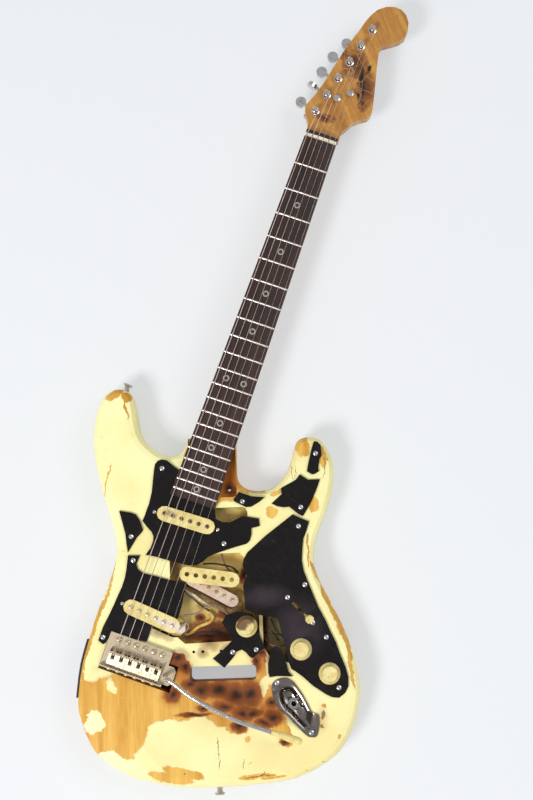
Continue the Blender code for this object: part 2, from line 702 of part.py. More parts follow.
def make_body():
    outline = smooth_run(metres(BODY_EDGE), 2)
    body = plate("body", [outline], BACK_Z, FACE_Z, rounding=EDGE_RADIUS)
    join(body, plate("heel_block", [rectangle(*HEEL_BLOCK, HEEL_BLOCK_CORNER)], BACK_Z, FACE_Z,
                     rounding=HEEL_BLOCK_ROUNDING))
    above = FACE_Z + 0.02
    below = BACK_Z - 0.01
    cut(
        body,
        contour("forearm_scoop", (-0.172, -0.190), (-0.006, -0.385), 0.110, 0.024, FACE_Z, 1),
        contour("belly_scoop", (-0.094, 0.045), (-0.096, -0.180), 0.050, 0.046, BACK_Z, -1),
        plate("old_pocket", [rectangle(
            -POCKET_HALF_WIDTH, POCKET_HALF_WIDTH, POCKET_END_Y, 0.060, 0.004
        )], POCKET_Z, above),
        plate("new_pocket", [pocket_outline()], POCKET_Z, above, parent=NECK),
        plate("open_cavity", [metres(POOL_EDGE)], POOL_Z, above),
        plate("control_cavity", [metres(CONTROL_EDGE)], FACE_Z - CONTROL_DEPTH, above),
        plate("jack_rout", [scaled(metres(JACK_PLATE_EDGE), JACK_ROUT_SHARE)], BACK_Z + 0.008,
              above),
        plate("old_neck_rout", [rectangle(
            -0.040, 0.040, -0.086, -0.048, 0.006
        )], FACE_Z - PICKUP_ROUT_DEPTH, above),
        pickup_rout("neck_pickup_rout", NECK_PICKUP_Y, NECK_PICKUP_SLANT, above),
        pickup_rout("bridge_pickup_rout", BRIDGE_PICKUP_Y, BRIDGE_PICKUP_SLANT, above),
        plate("old_slot", [rectangle(*OLD_SLOT, OLD_SLOT_CORNER)], below, above),
        plate("block_pocket", [rectangle(
            BLOCK_BASS_X - BLOCK_CLEARANCE, BLOCK_TREBLE_X + BLOCK_CLEARANCE,
            BLOCK_REAR_Y - BLOCK_SWING_ROOM, BLOCK_FRONT_Y + BLOCK_CLEARANCE,
        )], below, above, parent=NECK),
        plate("spring_trough", [rectangle(
            -SPRING_TROUGH_HALF_WIDTH, SPRING_TROUGH_HALF_WIDTH,
            BLOCK_FRONT_Y, spring_claw_y() + CLAW_THICKNESS + 0.003,
        )], below, BACK_Z + SPRING_ROUT_DEPTH, parent=NECK),
    )
    for index, place in enumerate(bolt_places()):
        cut(body, rod(f"bolt_hole_{index + 1}", BOLT_RADIUS + RUNNING_GAP, below, above, place,
                      steps=8))
    for index in (0, 1, 3, 4):
        place = (string_x(index, BRIDGE_PITCH), OLD_PIVOT_Y)
        cut(body, rod(f"old_pivot_hole_{index + 1}", OLD_PIVOT_RADIUS, FACE_Z - OLD_PIVOT_DEPTH,
                      above, place, steps=HOLE_STEPS))
    return finish(body, "cream_paint")


def pocket_outline():
    """The skewed heel's pocket: the heel's own taper and clearance, run out past the body."""
    far_y = NECK_END_Y + HEEL_LENGTH + 0.03
    near = neck_width(NECK_END_Y) / 2 + SEAT_GAP
    far = neck_width(far_y) / 2 + SEAT_GAP
    end_y = NECK_END_Y - SEAT_GAP
    return [(-near, end_y), (near, end_y), (far, far_y), (-far, far_y)]


def pickup_rout(name, y, slant, above):
    room = 2 * PICKUP_ROUT_CLEARANCE
    hole = stadium(PICKUP_BASE_LENGTH + room, PICKUP_BASE_WIDTH + room, 4)
    return plate(name, [placed(hole, (0, y), slant)], FACE_Z - PICKUP_ROUT_DEPTH, above,
                 parent=NECK)


def neck_section(y, width, top, depth, power):
    """Half a superellipse below a flat top, as a ring of points across the neck."""
    steps = 10
    ring = []
    for step in range(steps + 1):
        angle = math.pi * step / steps
        across = math.copysign(abs(math.cos(angle)) ** (2 / power), math.cos(angle))
        down = math.sin(angle) ** (2 / power)
        ring.append((across * width / 2, y, top - down * depth))
    return ring


def make_neck():
    heel_depth = NECK_TOP_Z - POCKET_Z - SEAT_GAP
    heel_y = NECK_END_Y + HEEL_LENGTH
    nut_y = SCALE_LENGTH
    sections = (
        (NECK_END_Y, neck_width(NECK_END_Y), NECK_TOP_Z, heel_depth, 14),
        (heel_y - 0.004, neck_width(heel_y), NECK_TOP_Z, heel_depth, 14),
        (heel_y + 0.010, neck_width(heel_y + 0.010), NECK_TOP_Z, NECK_DEPTH_AT_HEEL + 0.0012, 3.2),
        (heel_y + 0.030, neck_width(heel_y + 0.030), NECK_TOP_Z, NECK_DEPTH_AT_HEEL, 2.3),
        (nut_y - 0.030, neck_width(nut_y - 0.030), NECK_TOP_Z, NECK_DEPTH_AT_NUT, 2.2),
        (BOARD_END_Y, NUT_WIDTH, NECK_TOP_Z, NECK_DEPTH_AT_NUT, 2.4),
        (BOARD_END_Y + 0.003, NUT_WIDTH, HEAD_Z + 0.0026, HEAD_Z + 0.0026 - HEAD_BACK_Z - 0.001, 2.6),
        (BOARD_END_Y + 0.008, NUT_WIDTH, HEAD_Z + 0.0008, HEAD_Z - HEAD_BACK_Z - 0.002, 3),
        (BOARD_END_Y + 0.015, NUT_WIDTH, HEAD_Z - 0.0002, HEAD_Z - HEAD_BACK_Z - 0.004, 3),
    )
    neck = loft("neck", [neck_section(*section) for section in sections], parent=NECK)
    holes = [circle(tuner_place(index, 0), POST_RADIUS + RUNNING_GAP, 8) for index in range(6)]
    head = plate("headstock", [smooth_run(from_nut(HEAD_EDGE), 1), *holes], HEAD_BACK_Z, HEAD_Z,
                 parent=NECK)
    join(neck, head)
    bolt_end = BOLT_LENGTH + 0.001
    for index, place in enumerate(bolts_in_neck()):
        cut(neck, rod(f"heel_hole_{index + 1}", BOLT_RADIUS + RUNNING_GAP, 0.02, bolt_end, place,
                      steps=8))
    return finish(neck, "maple")


def board_blank(name, low, radius):
    """A board with the neck's taper, rounded across by a long cylinder of the given radius."""
    ends = (NECK_END_Y, BOARD_END_Y)
    outline = [(side * neck_width(y) / 2, y) for y, side in zip((ends[0],) * 2 + ends[1:] * 2,
                                                               (-1, 1, 1, -1))]
    blank = plate(name, [outline], low, FRET_TOP_Z + 0.004, parent=NECK)
    length = BOARD_END_Y - NECK_END_Y + 0.04
    crown = rod(f"{name}_crown", radius, -length / 2, length / 2, (0, 0), NECK, steps=256)
    crown.rotation_euler.x = math.pi / 2
    crown.location = (0, (NECK_END_Y + BOARD_END_Y) / 2, BOARD_TOP_Z - BOARD_RADIUS)
    return combine(blank, "INTERSECT", [crown])


def make_fretboard():
    board = board_blank("fretboard", BOARD_LOW_Z, BOARD_RADIUS)
    for index in range(FRET_COUNT):
        y = SCALE_LENGTH / 2 ** ((index + 1) / 12)
        half = neck_width(y) / 2 - SEAT_GAP
        profile = [
            (x, BOARD_TOP_Z - BOARD_THICKNESS / 2) for x in (-half, half)
        ] + [
            (half * share, BOARD_TOP_Z - camber(half * share) + FRET_HEIGHT)
            for share in (1, 0.5, 0, -0.5, -1)
        ]
        fret = plate(f"fret_{index + 1}", [profile], -FRET_WIDTH / 2, FRET_WIDTH / 2, parent=NECK)
        fret.rotation_euler.x = math.pi / 2
        fret.location = (0, y, 0)
        join(board, fret)
    slot_low = BOARD_TOP_Z - NUT_SLOT_DEPTH
    cut(board, box(
        "nut_slot", (-NUT_WIDTH, SCALE_LENGTH - SEAT_GAP, slot_low),
        (NUT_WIDTH, SCALE_LENGTH + NUT_THICKNESS + SEAT_GAP, FRET_TOP_Z + 0.01), NECK,
    ))
    return finish(board, "rosewood")


def make_nut():
    """A nut with a cambered top and one notch for each string."""
    low = BOARD_TOP_Z - NUT_SLOT_DEPTH + SEAT_GAP
    half = NUT_WIDTH / 2 - SEAT_GAP
    rise = 0.0007
    top = [(-half, NUT_STRING_Z + rise - camber(half))]
    for index, radius in enumerate(STRING_RADII):
        x = string_x(index, NUT_PITCH)
        crown = NUT_STRING_Z + rise - camber(x)
        floor = NUT_STRING_Z - camber(x) - radius - SEAT_GAP
        reach = radius + SEAT_GAP
        top += [(x - reach, crown), (x - reach, floor), (x + reach, floor), (x + reach, crown)]
    top.append((half, NUT_STRING_Z + rise - camber(half)))
    profile = top + [(half, low), (-half, low)]
    nut = plate("nut", [profile], -NUT_THICKNESS / 2, NUT_THICKNESS / 2, parent=NECK)
    nut.rotation_euler.x = math.pi / 2
    nut.location = (0, SCALE_LENGTH + NUT_THICKNESS / 2, 0)
    return finish(nut, "bone")


def string_route(index):
    """Up through the block and the saddle, over the neck, and round the tuning post."""
    radius = STRING_RADII[index]
    x = string_x(index, BRIDGE_PITCH)
    drop = camber(x)
    nut_x = string_x(index, NUT_PITCH)
    nut_z = NUT_STRING_Z - camber(nut_x)
    post = tuner_place(index, 0)
    wrap = POST_RADIUS + radius + SEAT_GAP
    wrap_z = HEAD_Z + POST_HEIGHT * 0.55
    route = [
        (x, STRING_HOLE_Y, BLOCK_LOW + 0.004),
        (x, STRING_HOLE_Y, SADDLE_STRING_Z - drop - 0.0035),
        (x, STRING_HOLE_Y + 0.0012, SADDLE_STRING_Z - drop - 0.0010),
        (x, saddle_crown_y(), SADDLE_STRING_Z - drop),
        (nut_x, SCALE_LENGTH, nut_z),
        (nut_x, SCALE_LENGTH + NUT_THICKNESS, nut_z),
    ]
    tree = tree_over(index)
    if tree is not None:
        tree_y = from_nut([TREE_PLACES[tree]])[0][1]
        share = (tree_y - SCALE_LENGTH) / (post[1] - SCALE_LENGTH)
        tree_x = nut_x + (post[0] + wrap - nut_x) * share
        route.append((tree_x, tree_y, HEAD_Z + TREE_HEIGHT - STRING_BELOW_TREE - radius))
    steps = round(WINDING_TURNS * 8)
    for step in range(steps + 1):
        angle = 2 * math.pi * step / 8
        route.append((
            post[0] + wrap * math.cos(angle), post[1] + wrap * math.sin(angle),
            wrap_z - step / 8 * (2 * radius + 0.0002),
        ))
    return route


def tree_over(index):
    """Which string tree holds this string down, if one does."""
    if index >= 4:
        return 0
    if index >= 2:
        return 1
    return None


def make_strings():
    for index, radius in enumerate(STRING_RADII):
        route = string_route(index)
        string = tube(f"string_{STRING_COUNT - index}", route, radius, parent=NECK)
        finish(string, "steel_wire")


def make_string_trees():
    for index, place in enumerate(from_nut(TREE_PLACES)):
        low = HEAD_Z + SEAT_GAP
        wing = HEAD_Z + TREE_HEIGHT
        profile = [
            (0, wing + 0.0016), (TREE_RADIUS * 0.6, wing + 0.0014), (TREE_RADIUS, wing + 0.0006),
            (TREE_RADIUS, wing), (TREE_STEM_RADIUS, wing), (TREE_STEM_RADIUS, low), (0, low),
        ]
        tree = turned(f"string_tree_{index + 1}", profile, NECK, steps=10)
        tree.location = (*place, 0)
        finish(tree, "chrome")


def make_tuners():
    gear_top = HEAD_BACK_Z - SEAT_GAP
    gear_low = gear_top - GEARBOX_DEPTH
    worm_z = HEAD_BACK_Z - WORM_DROP
    notch = 0.0012
    edge = []
    for index in range(6):
        for along in (-POST_PITCH / 2 + notch, POST_PITCH / 2 - notch):
            edge.append(tuner_place(index, GEARBOX_BASS_SIDE, along + GEARBOX_SHIFT))
        if index < 5:
            edge.append(tuner_place(index, GEARBOX_BASS_SIDE - notch, POST_PITCH / 2 + GEARBOX_SHIFT))
    for index in reversed(range(6)):
        for along in (POST_PITCH / 2 - notch, -POST_PITCH / 2 + notch):
            edge.append(tuner_place(index, -GEARBOX_TREBLE_SIDE, along + GEARBOX_SHIFT))
        if index:
            edge.append(tuner_place(index, notch - GEARBOX_TREBLE_SIDE, GEARBOX_SHIFT - POST_PITCH / 2))
    boxes = plate("tuner_gearboxes", [edge], gear_low, gear_top, parent=NECK)
    for index in range(6):
        post_place = tuner_place(index, 0)
        hole = rod(f"post_hole_{index + 1}", POST_RADIUS + RUNNING_GAP, gear_low + 0.0015,
                   gear_top + 0.002, post_place, NECK, steps=8)
        bore = side_rod(f"worm_hole_{index + 1}", SHAFT_RADIUS + RUNNING_GAP, index,
                        GEARBOX_BASS_SIDE - 0.0065, GEARBOX_BASS_SIDE + 0.004, worm_z)
        cut(boxes, hole, bore)
        make_post(index, gear_low + 0.0015 + RUNNING_GAP, post_place)
        make_button(index, worm_z)
    finish(boxes, "chrome")


def side_rod(name, radius, index, start, end, z, steps=8):
    """A cylinder square to the row of tuners, between two distances from it."""
    work = bmesh.new()
    bmesh.ops.create_cone(
        work, cap_ends=True, segments=steps, radius1=radius, radius2=radius, depth=end - start
    )
    mesh = bpy.data.meshes.new(name)
    work.to_mesh(mesh)
    work.free()
    obj = new_object(name, mesh, NECK)
    obj.rotation_euler = (0, math.pi / 2, -POST_LINE_LEAN)
    obj.location = (*tuner_place(index, (start + end) / 2, BUTTON_PLACES[index][1]), z)
    return obj


def make_post(index, low, place):
    top = HEAD_Z + POST_HEIGHT
    waist = POST_RADIUS * 0.86
    profile = [
        (0, top), (POST_RADIUS - 0.0006, top), (POST_RADIUS, top - 0.0006),
        (POST_RADIUS, top - 0.0022), (waist, top - 0.0034), (waist, HEAD_Z + 0.0022),
        (POST_RADIUS, HEAD_Z + 0.0010), (POST_RADIUS, low), (0, low),
    ]
    post = turned(f"tuner_post_{STRING_COUNT - index}", profile, NECK, steps=10)
    post.location = (*place, 0)
    slot = box(f"post_slot_{index + 1}", (-0.0005, -0.01, top - 0.0030), (0.0005, 0.01, top + 0.01),
               NECK)
    slot.location = (*place, slot.location.z)
    finish(cut(post, slot), "chrome")


def make_button(index, worm_z):
    """A tuning button on its worm shaft, or what is left of one."""
    name = f"tuner_button_{STRING_COUNT - index}"
    inner = GEARBOX_BASS_SIDE - 0.0065 + RUNNING_GAP
    out, along = BUTTON_PLACES[index]
    if index == SNAPPED_BUTTON:
        stub = side_rod(name, SHAFT_RADIUS, index, inner, out, worm_z)
        break_face = box("break_face", (-0.004, -0.004, -0.002), (0.004, 0.004, 0.002), NECK)
        break_face.location = (*tuner_place(index, out + 0.0012, along), worm_z)
        break_face.rotation_euler = (0.5, 0.25 + math.pi / 2, -POST_LINE_LEAN)
        finish(cut(stub, break_face), "chrome")
        return
    button = side_rod(name, SHAFT_RADIUS, index, inner, out - BUTTON_RADIUS / 2, worm_z)
    head = rod(f"button_head_{index + 1}", BUTTON_RADIUS, -BUTTON_THICKNESS / 2,
               BUTTON_THICKNESS / 2, (0, 0), NECK, steps=14)
    head.location = (*tuner_place(index, out, along), worm_z)
    if index == EDGE_ON_BUTTON:
        head.rotation_euler = (math.pi / 2, 0, -POST_LINE_LEAN)
    collar_start = max(out - BUTTON_RADIUS - 0.002, GEARBOX_BASS_SIDE + SEAT_GAP)
    collar = side_rod(f"button_collar_{index + 1}", SHAFT_RADIUS * 1.55, index, collar_start,
                      out - BUTTON_RADIUS * 0.7, worm_z)
    finish(join(button, collar, head), "chrome")


def make_neck_plate():
    half_x = NECK_PLATE_X / 2
    half_y = NECK_PLATE_Y / 2
    top = BACK_PROUD - SEAT_GAP
    empty = [place for place in bolt_places() if place not in bolts_in_neck()]
    loops = [rectangle(-half_x, half_x, -half_y, half_y, NECK_PLATE_CORNER)]
    loops += [circle(place, BOLT_RADIUS + RUNNING_GAP, 8) for place in empty]
    neck_plate = plate("neck_plate", loops, 0.0, top)
    for index, place in enumerate(bolts_in_neck()):
        bolt = rod(f"bolt_{index + 1}", BOLT_RADIUS, top / 2, BOLT_LENGTH, place, steps=8)
        join(neck_plate, bolt)
    return finish(neck_plate, "chrome")


def spring_claw_y():
    return BLOCK_FRONT_Y + SPRING_LENGTH


def make_back_cover():
    loop = rectangle(-COVER_HALF_WIDTH, COVER_HALF_WIDTH, COVER_REAR_Y, COVER_FRONT_Y, COVER_CORNER)
    slots = [placed(stadium(0.0075, 0.0062, 2), (string_x(i, BRIDGE_PITCH), STRING_HOLE_Y),
                    math.pi / 2) for i in range(STRING_COUNT)]
    return finish(plate("back_cover", [loop, *slots], 0.0, BACK_PROUD - SEAT_GAP, parent=NECK),
                  "black_guard")


def make_bridge_plate():
    outline = [
        (PLATE_BASS_X, PLATE_REAR_Y), (PLATE_TREBLE_X, PLATE_REAR_Y), (PLATE_TREBLE_X, LUG_REAR_Y),
        (LUG_X - 0.004, LUG_REAR_Y), (LUG_X, LUG_REAR_Y + 0.004), (LUG_X, LUG_FRONT_Y - 0.004),
        (LUG_X - 0.004, LUG_FRONT_Y), (PLATE_TREBLE_X, LUG_FRONT_Y),
        (PLATE_TREBLE_X, PLATE_FRONT_Y), (PLATE_BASS_X, PLATE_FRONT_Y),
    ]
    holes = [circle(ARM_SOCKET, ARM_RADIUS + RUNNING_GAP, 8)]
    for index in range(STRING_COUNT):
        x = string_x(index, BRIDGE_PITCH)
        holes.append(circle((x, PIVOT_Y), PIVOT_HOLE_RADIUS))
        holes.append(circle((x, STRING_HOLE_Y), STRING_HOLE_RADIUS))
    bridge = plate("bridge_plate", [outline, *holes], PLATE_LOW, PLATE_TOP, parent=NECK)
    flange = box("bridge_flange", (PLATE_BASS_X, PLATE_REAR_Y, PLATE_LOW + PLATE_THICKNESS / 2),
                 (PLATE_TREBLE_X, PLATE_REAR_Y + PLATE_THICKNESS, PLATE_TOP + FLANGE_HEIGHT), NECK)
    return finish(join(bridge, flange), "worn_nickel")


def make_vibrato_block():
    outline = rectangle(BLOCK_BASS_X, BLOCK_TREBLE_X, BLOCK_REAR_Y, BLOCK_FRONT_Y)
    bores = [circle((string_x(i, BRIDGE_PITCH), STRING_HOLE_Y), STRING_HOLE_RADIUS)
             for i in range(STRING_COUNT)]
    top = PLATE_LOW - SEAT_GAP
    block = plate("vibrato_block", [outline, *bores], BLOCK_LOW, top, parent=NECK)
    socket = rod("arm_bore", ARM_RADIUS + RUNNING_GAP, top - ARM_SEAT_DEPTH - RUNNING_GAP,
                 top + 0.01, ARM_SOCKET, NECK, steps=8)
    return finish(cut(block, socket), "worn_nickel")


def make_arm():
    """A steel arm that turns in the block, bends over and runs out low across the body."""
    x, y = in_body(ARM_SOCKET)
    start = PLATE_LOW - SEAT_GAP - ARM_SEAT_DEPTH
    route = metres(ARM_ROUTE)
    rise = [(x, y, start), (x, y, PLATE_TOP + 0.009), (x + 0.0006, y - 0.0004, PLATE_TOP + 0.014),
            (x + 0.0030, y - 0.0025, PLATE_TOP + 0.0178)]
    arm = tube("vibrato_arm", rise + route, ARM_RADIUS, resolution=2)
    finish(arm, "chrome")
    run = (Vector(route[-1]) - Vector(route[-2])).normalized()
    begin = Vector(route[-1]) + run * SEAT_GAP
    profile = [
        (0, ARM_TIP_LENGTH), (ARM_TIP_RADIUS * 0.6, ARM_TIP_LENGTH - 0.0007),
        (ARM_TIP_RADIUS, ARM_TIP_LENGTH - 0.004), (ARM_TIP_RADIUS, ARM_TIP_LENGTH * 0.6),
        (ARM_TIP_RADIUS * 0.68, 0), (0, 0),
    ]
    tip = turned("arm_tip", profile, steps=10)
    tip.rotation_mode = "QUATERNION"
    tip.rotation_quaternion = run.to_track_quat("Z", "Y")
    tip.location = begin
    finish(tip, "white_plastic")


def saddle_crown_y():
    return SADDLE_FRONT_Y - 0.0045


def make_saddles():
    """Bent steel saddles: a rear wall, a rising top and a rounded front that holds the string."""
    low = PLATE_TOP + SEAT_GAP
    for index, radius in enumerate(STRING_RADII):
        x = string_x(index, BRIDGE_PITCH)
        top = SADDLE_STRING_Z - camber(x) - radius - SEAT_GAP
        outer = [
            (SADDLE_REAR_Y, low), (SADDLE_REAR_Y, top - 0.0026), (SADDLE_REAR_Y + 0.0012, top - 0.0018),
            (saddle_crown_y() - 0.002, top), (saddle_crown_y() + 0.001, top - 0.0001),
            (saddle_crown_y() + 0.0032, top - 0.0014), (SADDLE_FRONT_Y, top - 0.0040),
            (SADDLE_FRONT_Y, low),
        ]
        inner = [
            (SADDLE_FRONT_Y - SADDLE_WALL, low), (SADDLE_FRONT_Y - SADDLE_WALL, top - 0.0044),
            (saddle_crown_y(), top - SADDLE_WALL - 0.0002),
            (SADDLE_REAR_Y + SADDLE_WALL, top - SADDLE_WALL - 0.0022),
            (SADDLE_REAR_Y + SADDLE_WALL, low),
        ]
        width = min(SADDLE_WIDTH, BRIDGE_PITCH - SEAT_GAP)
        saddle = side_plate(f"saddle_{STRING_COUNT - index}", outer + inner, x, width, NECK)
        slot = box(
            f"saddle_slot_{index + 1}",
            (x - SADDLE_SLOT_WIDTH / 2, STRING_HOLE_Y - SADDLE_SLOT_LENGTH / 2, top - 0.006),
            (x + SADDLE_SLOT_WIDTH / 2, STRING_HOLE_Y + SADDLE_SLOT_LENGTH / 2, top + 0.003), NECK,
        )
        finish(cut(saddle, slot), "worn_nickel")


def make_springs():
    """The claw at the front of the trough, with its springs drawn as ribbed barrels."""
    y = spring_claw_y()
    z = BACK_Z + SPRING_ROUT_DEPTH / 2
    half = SPRING_TROUGH_HALF_WIDTH - SEAT_GAP
    claw = box("spring_claw", (-half, y, z - 0.006), (half, y + CLAW_THICKNESS, z + 0.006), NECK)
    reach = y - BLOCK_FRONT_Y - SEAT_GAP
    ribs = 6
    profile = [(0, reach)]
    for rib in range(ribs):
        high = reach - rib * reach / ribs
        profile += [(SPRING_RADIUS * 0.8, high), (SPRING_RADIUS, high - reach / ribs / 2)]
    profile += [(SPRING_RADIUS * 0.8, 0), (0, 0)]
    for index in range(SPRING_COUNT):
        x = (index - (SPRING_COUNT - 1) / 2) * SPRING_PITCH
        spring = turned(f"spring_{index + 1}", profile, NECK, steps=6)
        spring.rotation_euler.x = -math.pi / 2
        spring.location = (x, BLOCK_FRONT_Y + SEAT_GAP + CLAW_THICKNESS / 2, z)
        join(claw, spring)
    return finish(claw, "steel_wire")


def make_pickup(name, covered, finish_name):
    """Base, coil and cover of a single-coil pickup about its own middle, its top at zero."""
    inset = 0.0 if covered else PICKUP_COVER_WALL
    cap_height = PICKUP_COVER_HEIGHT if covered else PICKUP_BASE_THICKNESS
    base_z = -PICKUP_COVER_HEIGHT if covered else -BOBBIN_HEIGHT
    pickup = plate(name, [stadium(PICKUP_LENGTH - 2 * inset, PICKUP_WIDTH - 2 * inset)],
                   -cap_height, 0.0)
    coil = plate(f"{name}_coil", [stadium(PICKUP_LENGTH - 2 * COIL_INSET,
                                          PICKUP_WIDTH - 2 * COIL_INSET, 4)],
                 base_z, -PICKUP_BASE_THICKNESS / 2)
    base = plate(f"{name}_base", [stadium(PICKUP_BASE_LENGTH, PICKUP_BASE_WIDTH, 4)],
                 base_z - PICKUP_BASE_THICKNESS, base_z + PICKUP_COVER_WALL / 2)
    parts = [coil, base]
    for index in range(STRING_COUNT):
        place = (string_x(index, POLE_PITCH), 0)
        parts.append(rod(f"{name}_pole_{index + 1}", POLE_RADIUS, -POLE_RADIUS, POLE_HEIGHT,
                         place, steps=8))
    for part in parts:
        part.parent = pickup
        part.location.z -= pickup.location.z
    join(pickup, *parts)
    return finish(pickup, finish_name)


def seat_pickup(pickup, y, slant):
    """Hangs a pickup in its hole in the guard, square to the strings but for its slant."""
    pickup.parent = NECK
    pickup.location.x = 0
    pickup.location.y = y
    pickup.location.z += GUARD_TOP + PICKUP_ABOVE_GUARD
    pickup.rotation_euler.z = slant


def make_pickups():
    seat_pickup(make_pickup("neck_pickup", True, "aged_plastic"), NECK_PICKUP_Y, NECK_PICKUP_SLANT)
    seat_pickup(make_pickup("bridge_pickup", True, "aged_plastic"), BRIDGE_PICKUP_Y,
                BRIDGE_PICKUP_SLANT)
    loose = make_pickup("middle_pickup", False, "white_plastic")
    upright = (BOBBIN_HEIGHT + PICKUP_BASE_THICKNESS / 2) * math.cos(MIDDLE_PICKUP_TILT)
    leaning = PICKUP_BASE_WIDTH / 2 * math.sin(-MIDDLE_PICKUP_TILT)
    loose.location = (*MIDDLE_PICKUP_PLACE, POOL_Z + upright + leaning + MIDDLE_PICKUP_LIFT)
    loose.rotation_euler = (MIDDLE_PICKUP_TILT, 0, MIDDLE_PICKUP_TURN)


def make_loose_cover():
    """A pickup cover with no pickup in it: open below, with a hole for each pole."""
    low = POOL_Z + LOOSE_COVER_LIFT
    high = low + PICKUP_COVER_HEIGHT
    holes = [circle((string_x(i, POLE_PITCH), 0), POLE_RADIUS + RUNNING_GAP, 8)
             for i in range(STRING_COUNT)]
    loops = [placed(loop, LOOSE_COVER_PLACE, LOOSE_COVER_TURN)
             for loop in [stadium(PICKUP_LENGTH, PICKUP_WIDTH), *holes]]
    cover = plate("loose_pickup_cover", loops, low, high)
    wall = PICKUP_COVER_WALL
    hollow = placed(stadium(PICKUP_LENGTH - 2 * wall, PICKUP_WIDTH - 2 * wall), LOOSE_COVER_PLACE,
                    LOOSE_COVER_TURN)
    inside = plate("cover_hollow", [hollow], low - 0.01, high - wall)
    return finish(cut(cover, inside), "aged_plastic")


def guard(name, edge, screws):
    """One piece of the broken pickguard, with its screw holes."""
    loops = [metres(edge)] + [circle(place, SCREW_HOLE_RADIUS) for place in metres(screws)]
    return plate(name, loops, GUARD_LOW, GUARD_TOP)


def pickup_hole(name, y, slant):
    """The guard's opening round a pickup. The break runs through it on the bridge's side."""
    hole = stadium(PICKUP_LENGTH + 2 * RUNNING_GAP, PICKUP_WIDTH + 2 * RUNNING_GAP)
    return plate(name, [placed(hole, (0, y), slant)], GUARD_LOW - 0.01, GUARD_TOP + 0.01,
                 parent=NECK)


def potentiometer(name, place):
    """A pot's can under the guard and its shaft above, made one with the guard that holds it."""
    can = rod(f"{name}_can", POT_RADIUS, GUARD_LOW - POT_HEIGHT, GUARD_LOW + GUARD_THICKNESS / 2,
              place)
    shaft = rod(f"{name}_shaft", POT_SHAFT_RADIUS, GUARD_LOW, GUARD_TOP + POT_SHAFT_HEIGHT, place,
                steps=10)
    return can, shaft


def selector_frame():
    loop = rectangle(-SELECTOR_FRAME_LENGTH / 2, SELECTOR_FRAME_LENGTH / 2,
                     -SELECTOR_FRAME_WIDTH / 2, SELECTOR_FRAME_WIDTH / 2)
    place = placed(loop, SELECTOR_PLACE, SELECTOR_TURN)
    return plate("selector_frame", [place], GUARD_LOW - SELECTOR_FRAME_DEPTH,
                 GUARD_LOW + GUARD_THICKNESS / 2)


def selector_slot():
    loop = rectangle(-SELECTOR_SLOT_LENGTH / 2, SELECTOR_SLOT_LENGTH / 2,
                     -SELECTOR_SLOT_WIDTH / 2, SELECTOR_SLOT_WIDTH / 2)
    return plate("selector_slot", [placed(loop, SELECTOR_PLACE, SELECTOR_TURN)],
                 GUARD_LOW - SELECTOR_FRAME_DEPTH - 0.002, GUARD_TOP + 0.002)


def make_guards():
    upper = guard("guard_upper", GUARD_UPPER_EDGE, [(-58.5, 0), (11.7, -90)])
    clear_pocket = plate("guard_neck_gap", [pocket_outline()], GUARD_LOW - 0.01, GUARD_TOP + 0.01,
                         parent=NECK)
    neck_hole = pickup_hole("neck_pickup_hole", NECK_PICKUP_Y, NECK_PICKUP_SLANT)
    finish(cut(upper, clear_pocket, neck_hole), "black_guard")
    lower_left = guard("guard_lower_left", GUARD_LOWER_LEFT_EDGE, [(-94, -106), (-130, -192.5)])
    bridge_hole = pickup_hole("bridge_pickup_hole", BRIDGE_PICKUP_Y, BRIDGE_PICKUP_SLANT)
    finish(cut(lower_left, bridge_hole), "black_guard")
    right = guard("guard_right", GUARD_RIGHT_EDGE,
                  [(99, -72.5), (104, -140), (126.5, -200.5), (138.8, -257.5)])
    join(right, selector_frame())
    for index, place in enumerate(TONE_PLACES):
        join(right, *potentiometer(f"tone_pot_{index + 1}", place))
    finish(cut(right, selector_slot()), "black_guard")
    volume = guard("guard_volume", GUARD_VOLUME_EDGE, [(18.3, -214), (45.5, -212)])
    join(volume, *potentiometer("volume_pot", VOLUME_PLACE))
    finish(volume, "black_guard")
    plain = (
        ("guard_left_chip", GUARD_LEFT_CHIP_EDGE, [(-96, -78.5)]),
        ("guard_cutaway_chip", GUARD_CUTAWAY_CHIP_EDGE, [(34.5, -41.8)]),
        ("guard_horn", GUARD_HORN_EDGE, [(102.5, -50.5)]),
        ("guard_horn_strip", GUARD_HORN_STRIP_EDGE, []),
        ("guard_jack_chip", GUARD_JACK_CHIP_EDGE, []),
    )
    for name, edge, screws in plain:
        finish(guard(name, edge, screws), "black_guard")


def make_knobs():
    """Bell knobs with a deep bore that slips over the pot's shaft."""
    bore = POT_SHAFT_RADIUS + RUNNING_GAP
    deep = POT_SHAFT_HEIGHT + RUNNING_GAP - KNOB_LIFT
    profile = [
        (0, KNOB_HEIGHT), (KNOB_TOP_RADIUS - 0.001, KNOB_HEIGHT),
        (KNOB_TOP_RADIUS, KNOB_HEIGHT - 0.001), (KNOB_TOP_RADIUS + 0.0004, 0.0050),
        (KNOB_RADIUS - 0.0012, 0.0026), (KNOB_RADIUS, 0.0012), (KNOB_RADIUS, 0), (bore, 0),
        (bore, deep), (0, deep),
    ]
    places = {"volume_knob": VOLUME_PLACE, "tone_knob_1": TONE_PLACES[0],
              "tone_knob_2": TONE_PLACES[1]}
    for name, place in places.items():
        knob = turned(name, profile, steps=16)
        knob.location = (*place, GUARD_TOP + KNOB_LIFT)
        finish(knob, "aged_plastic")


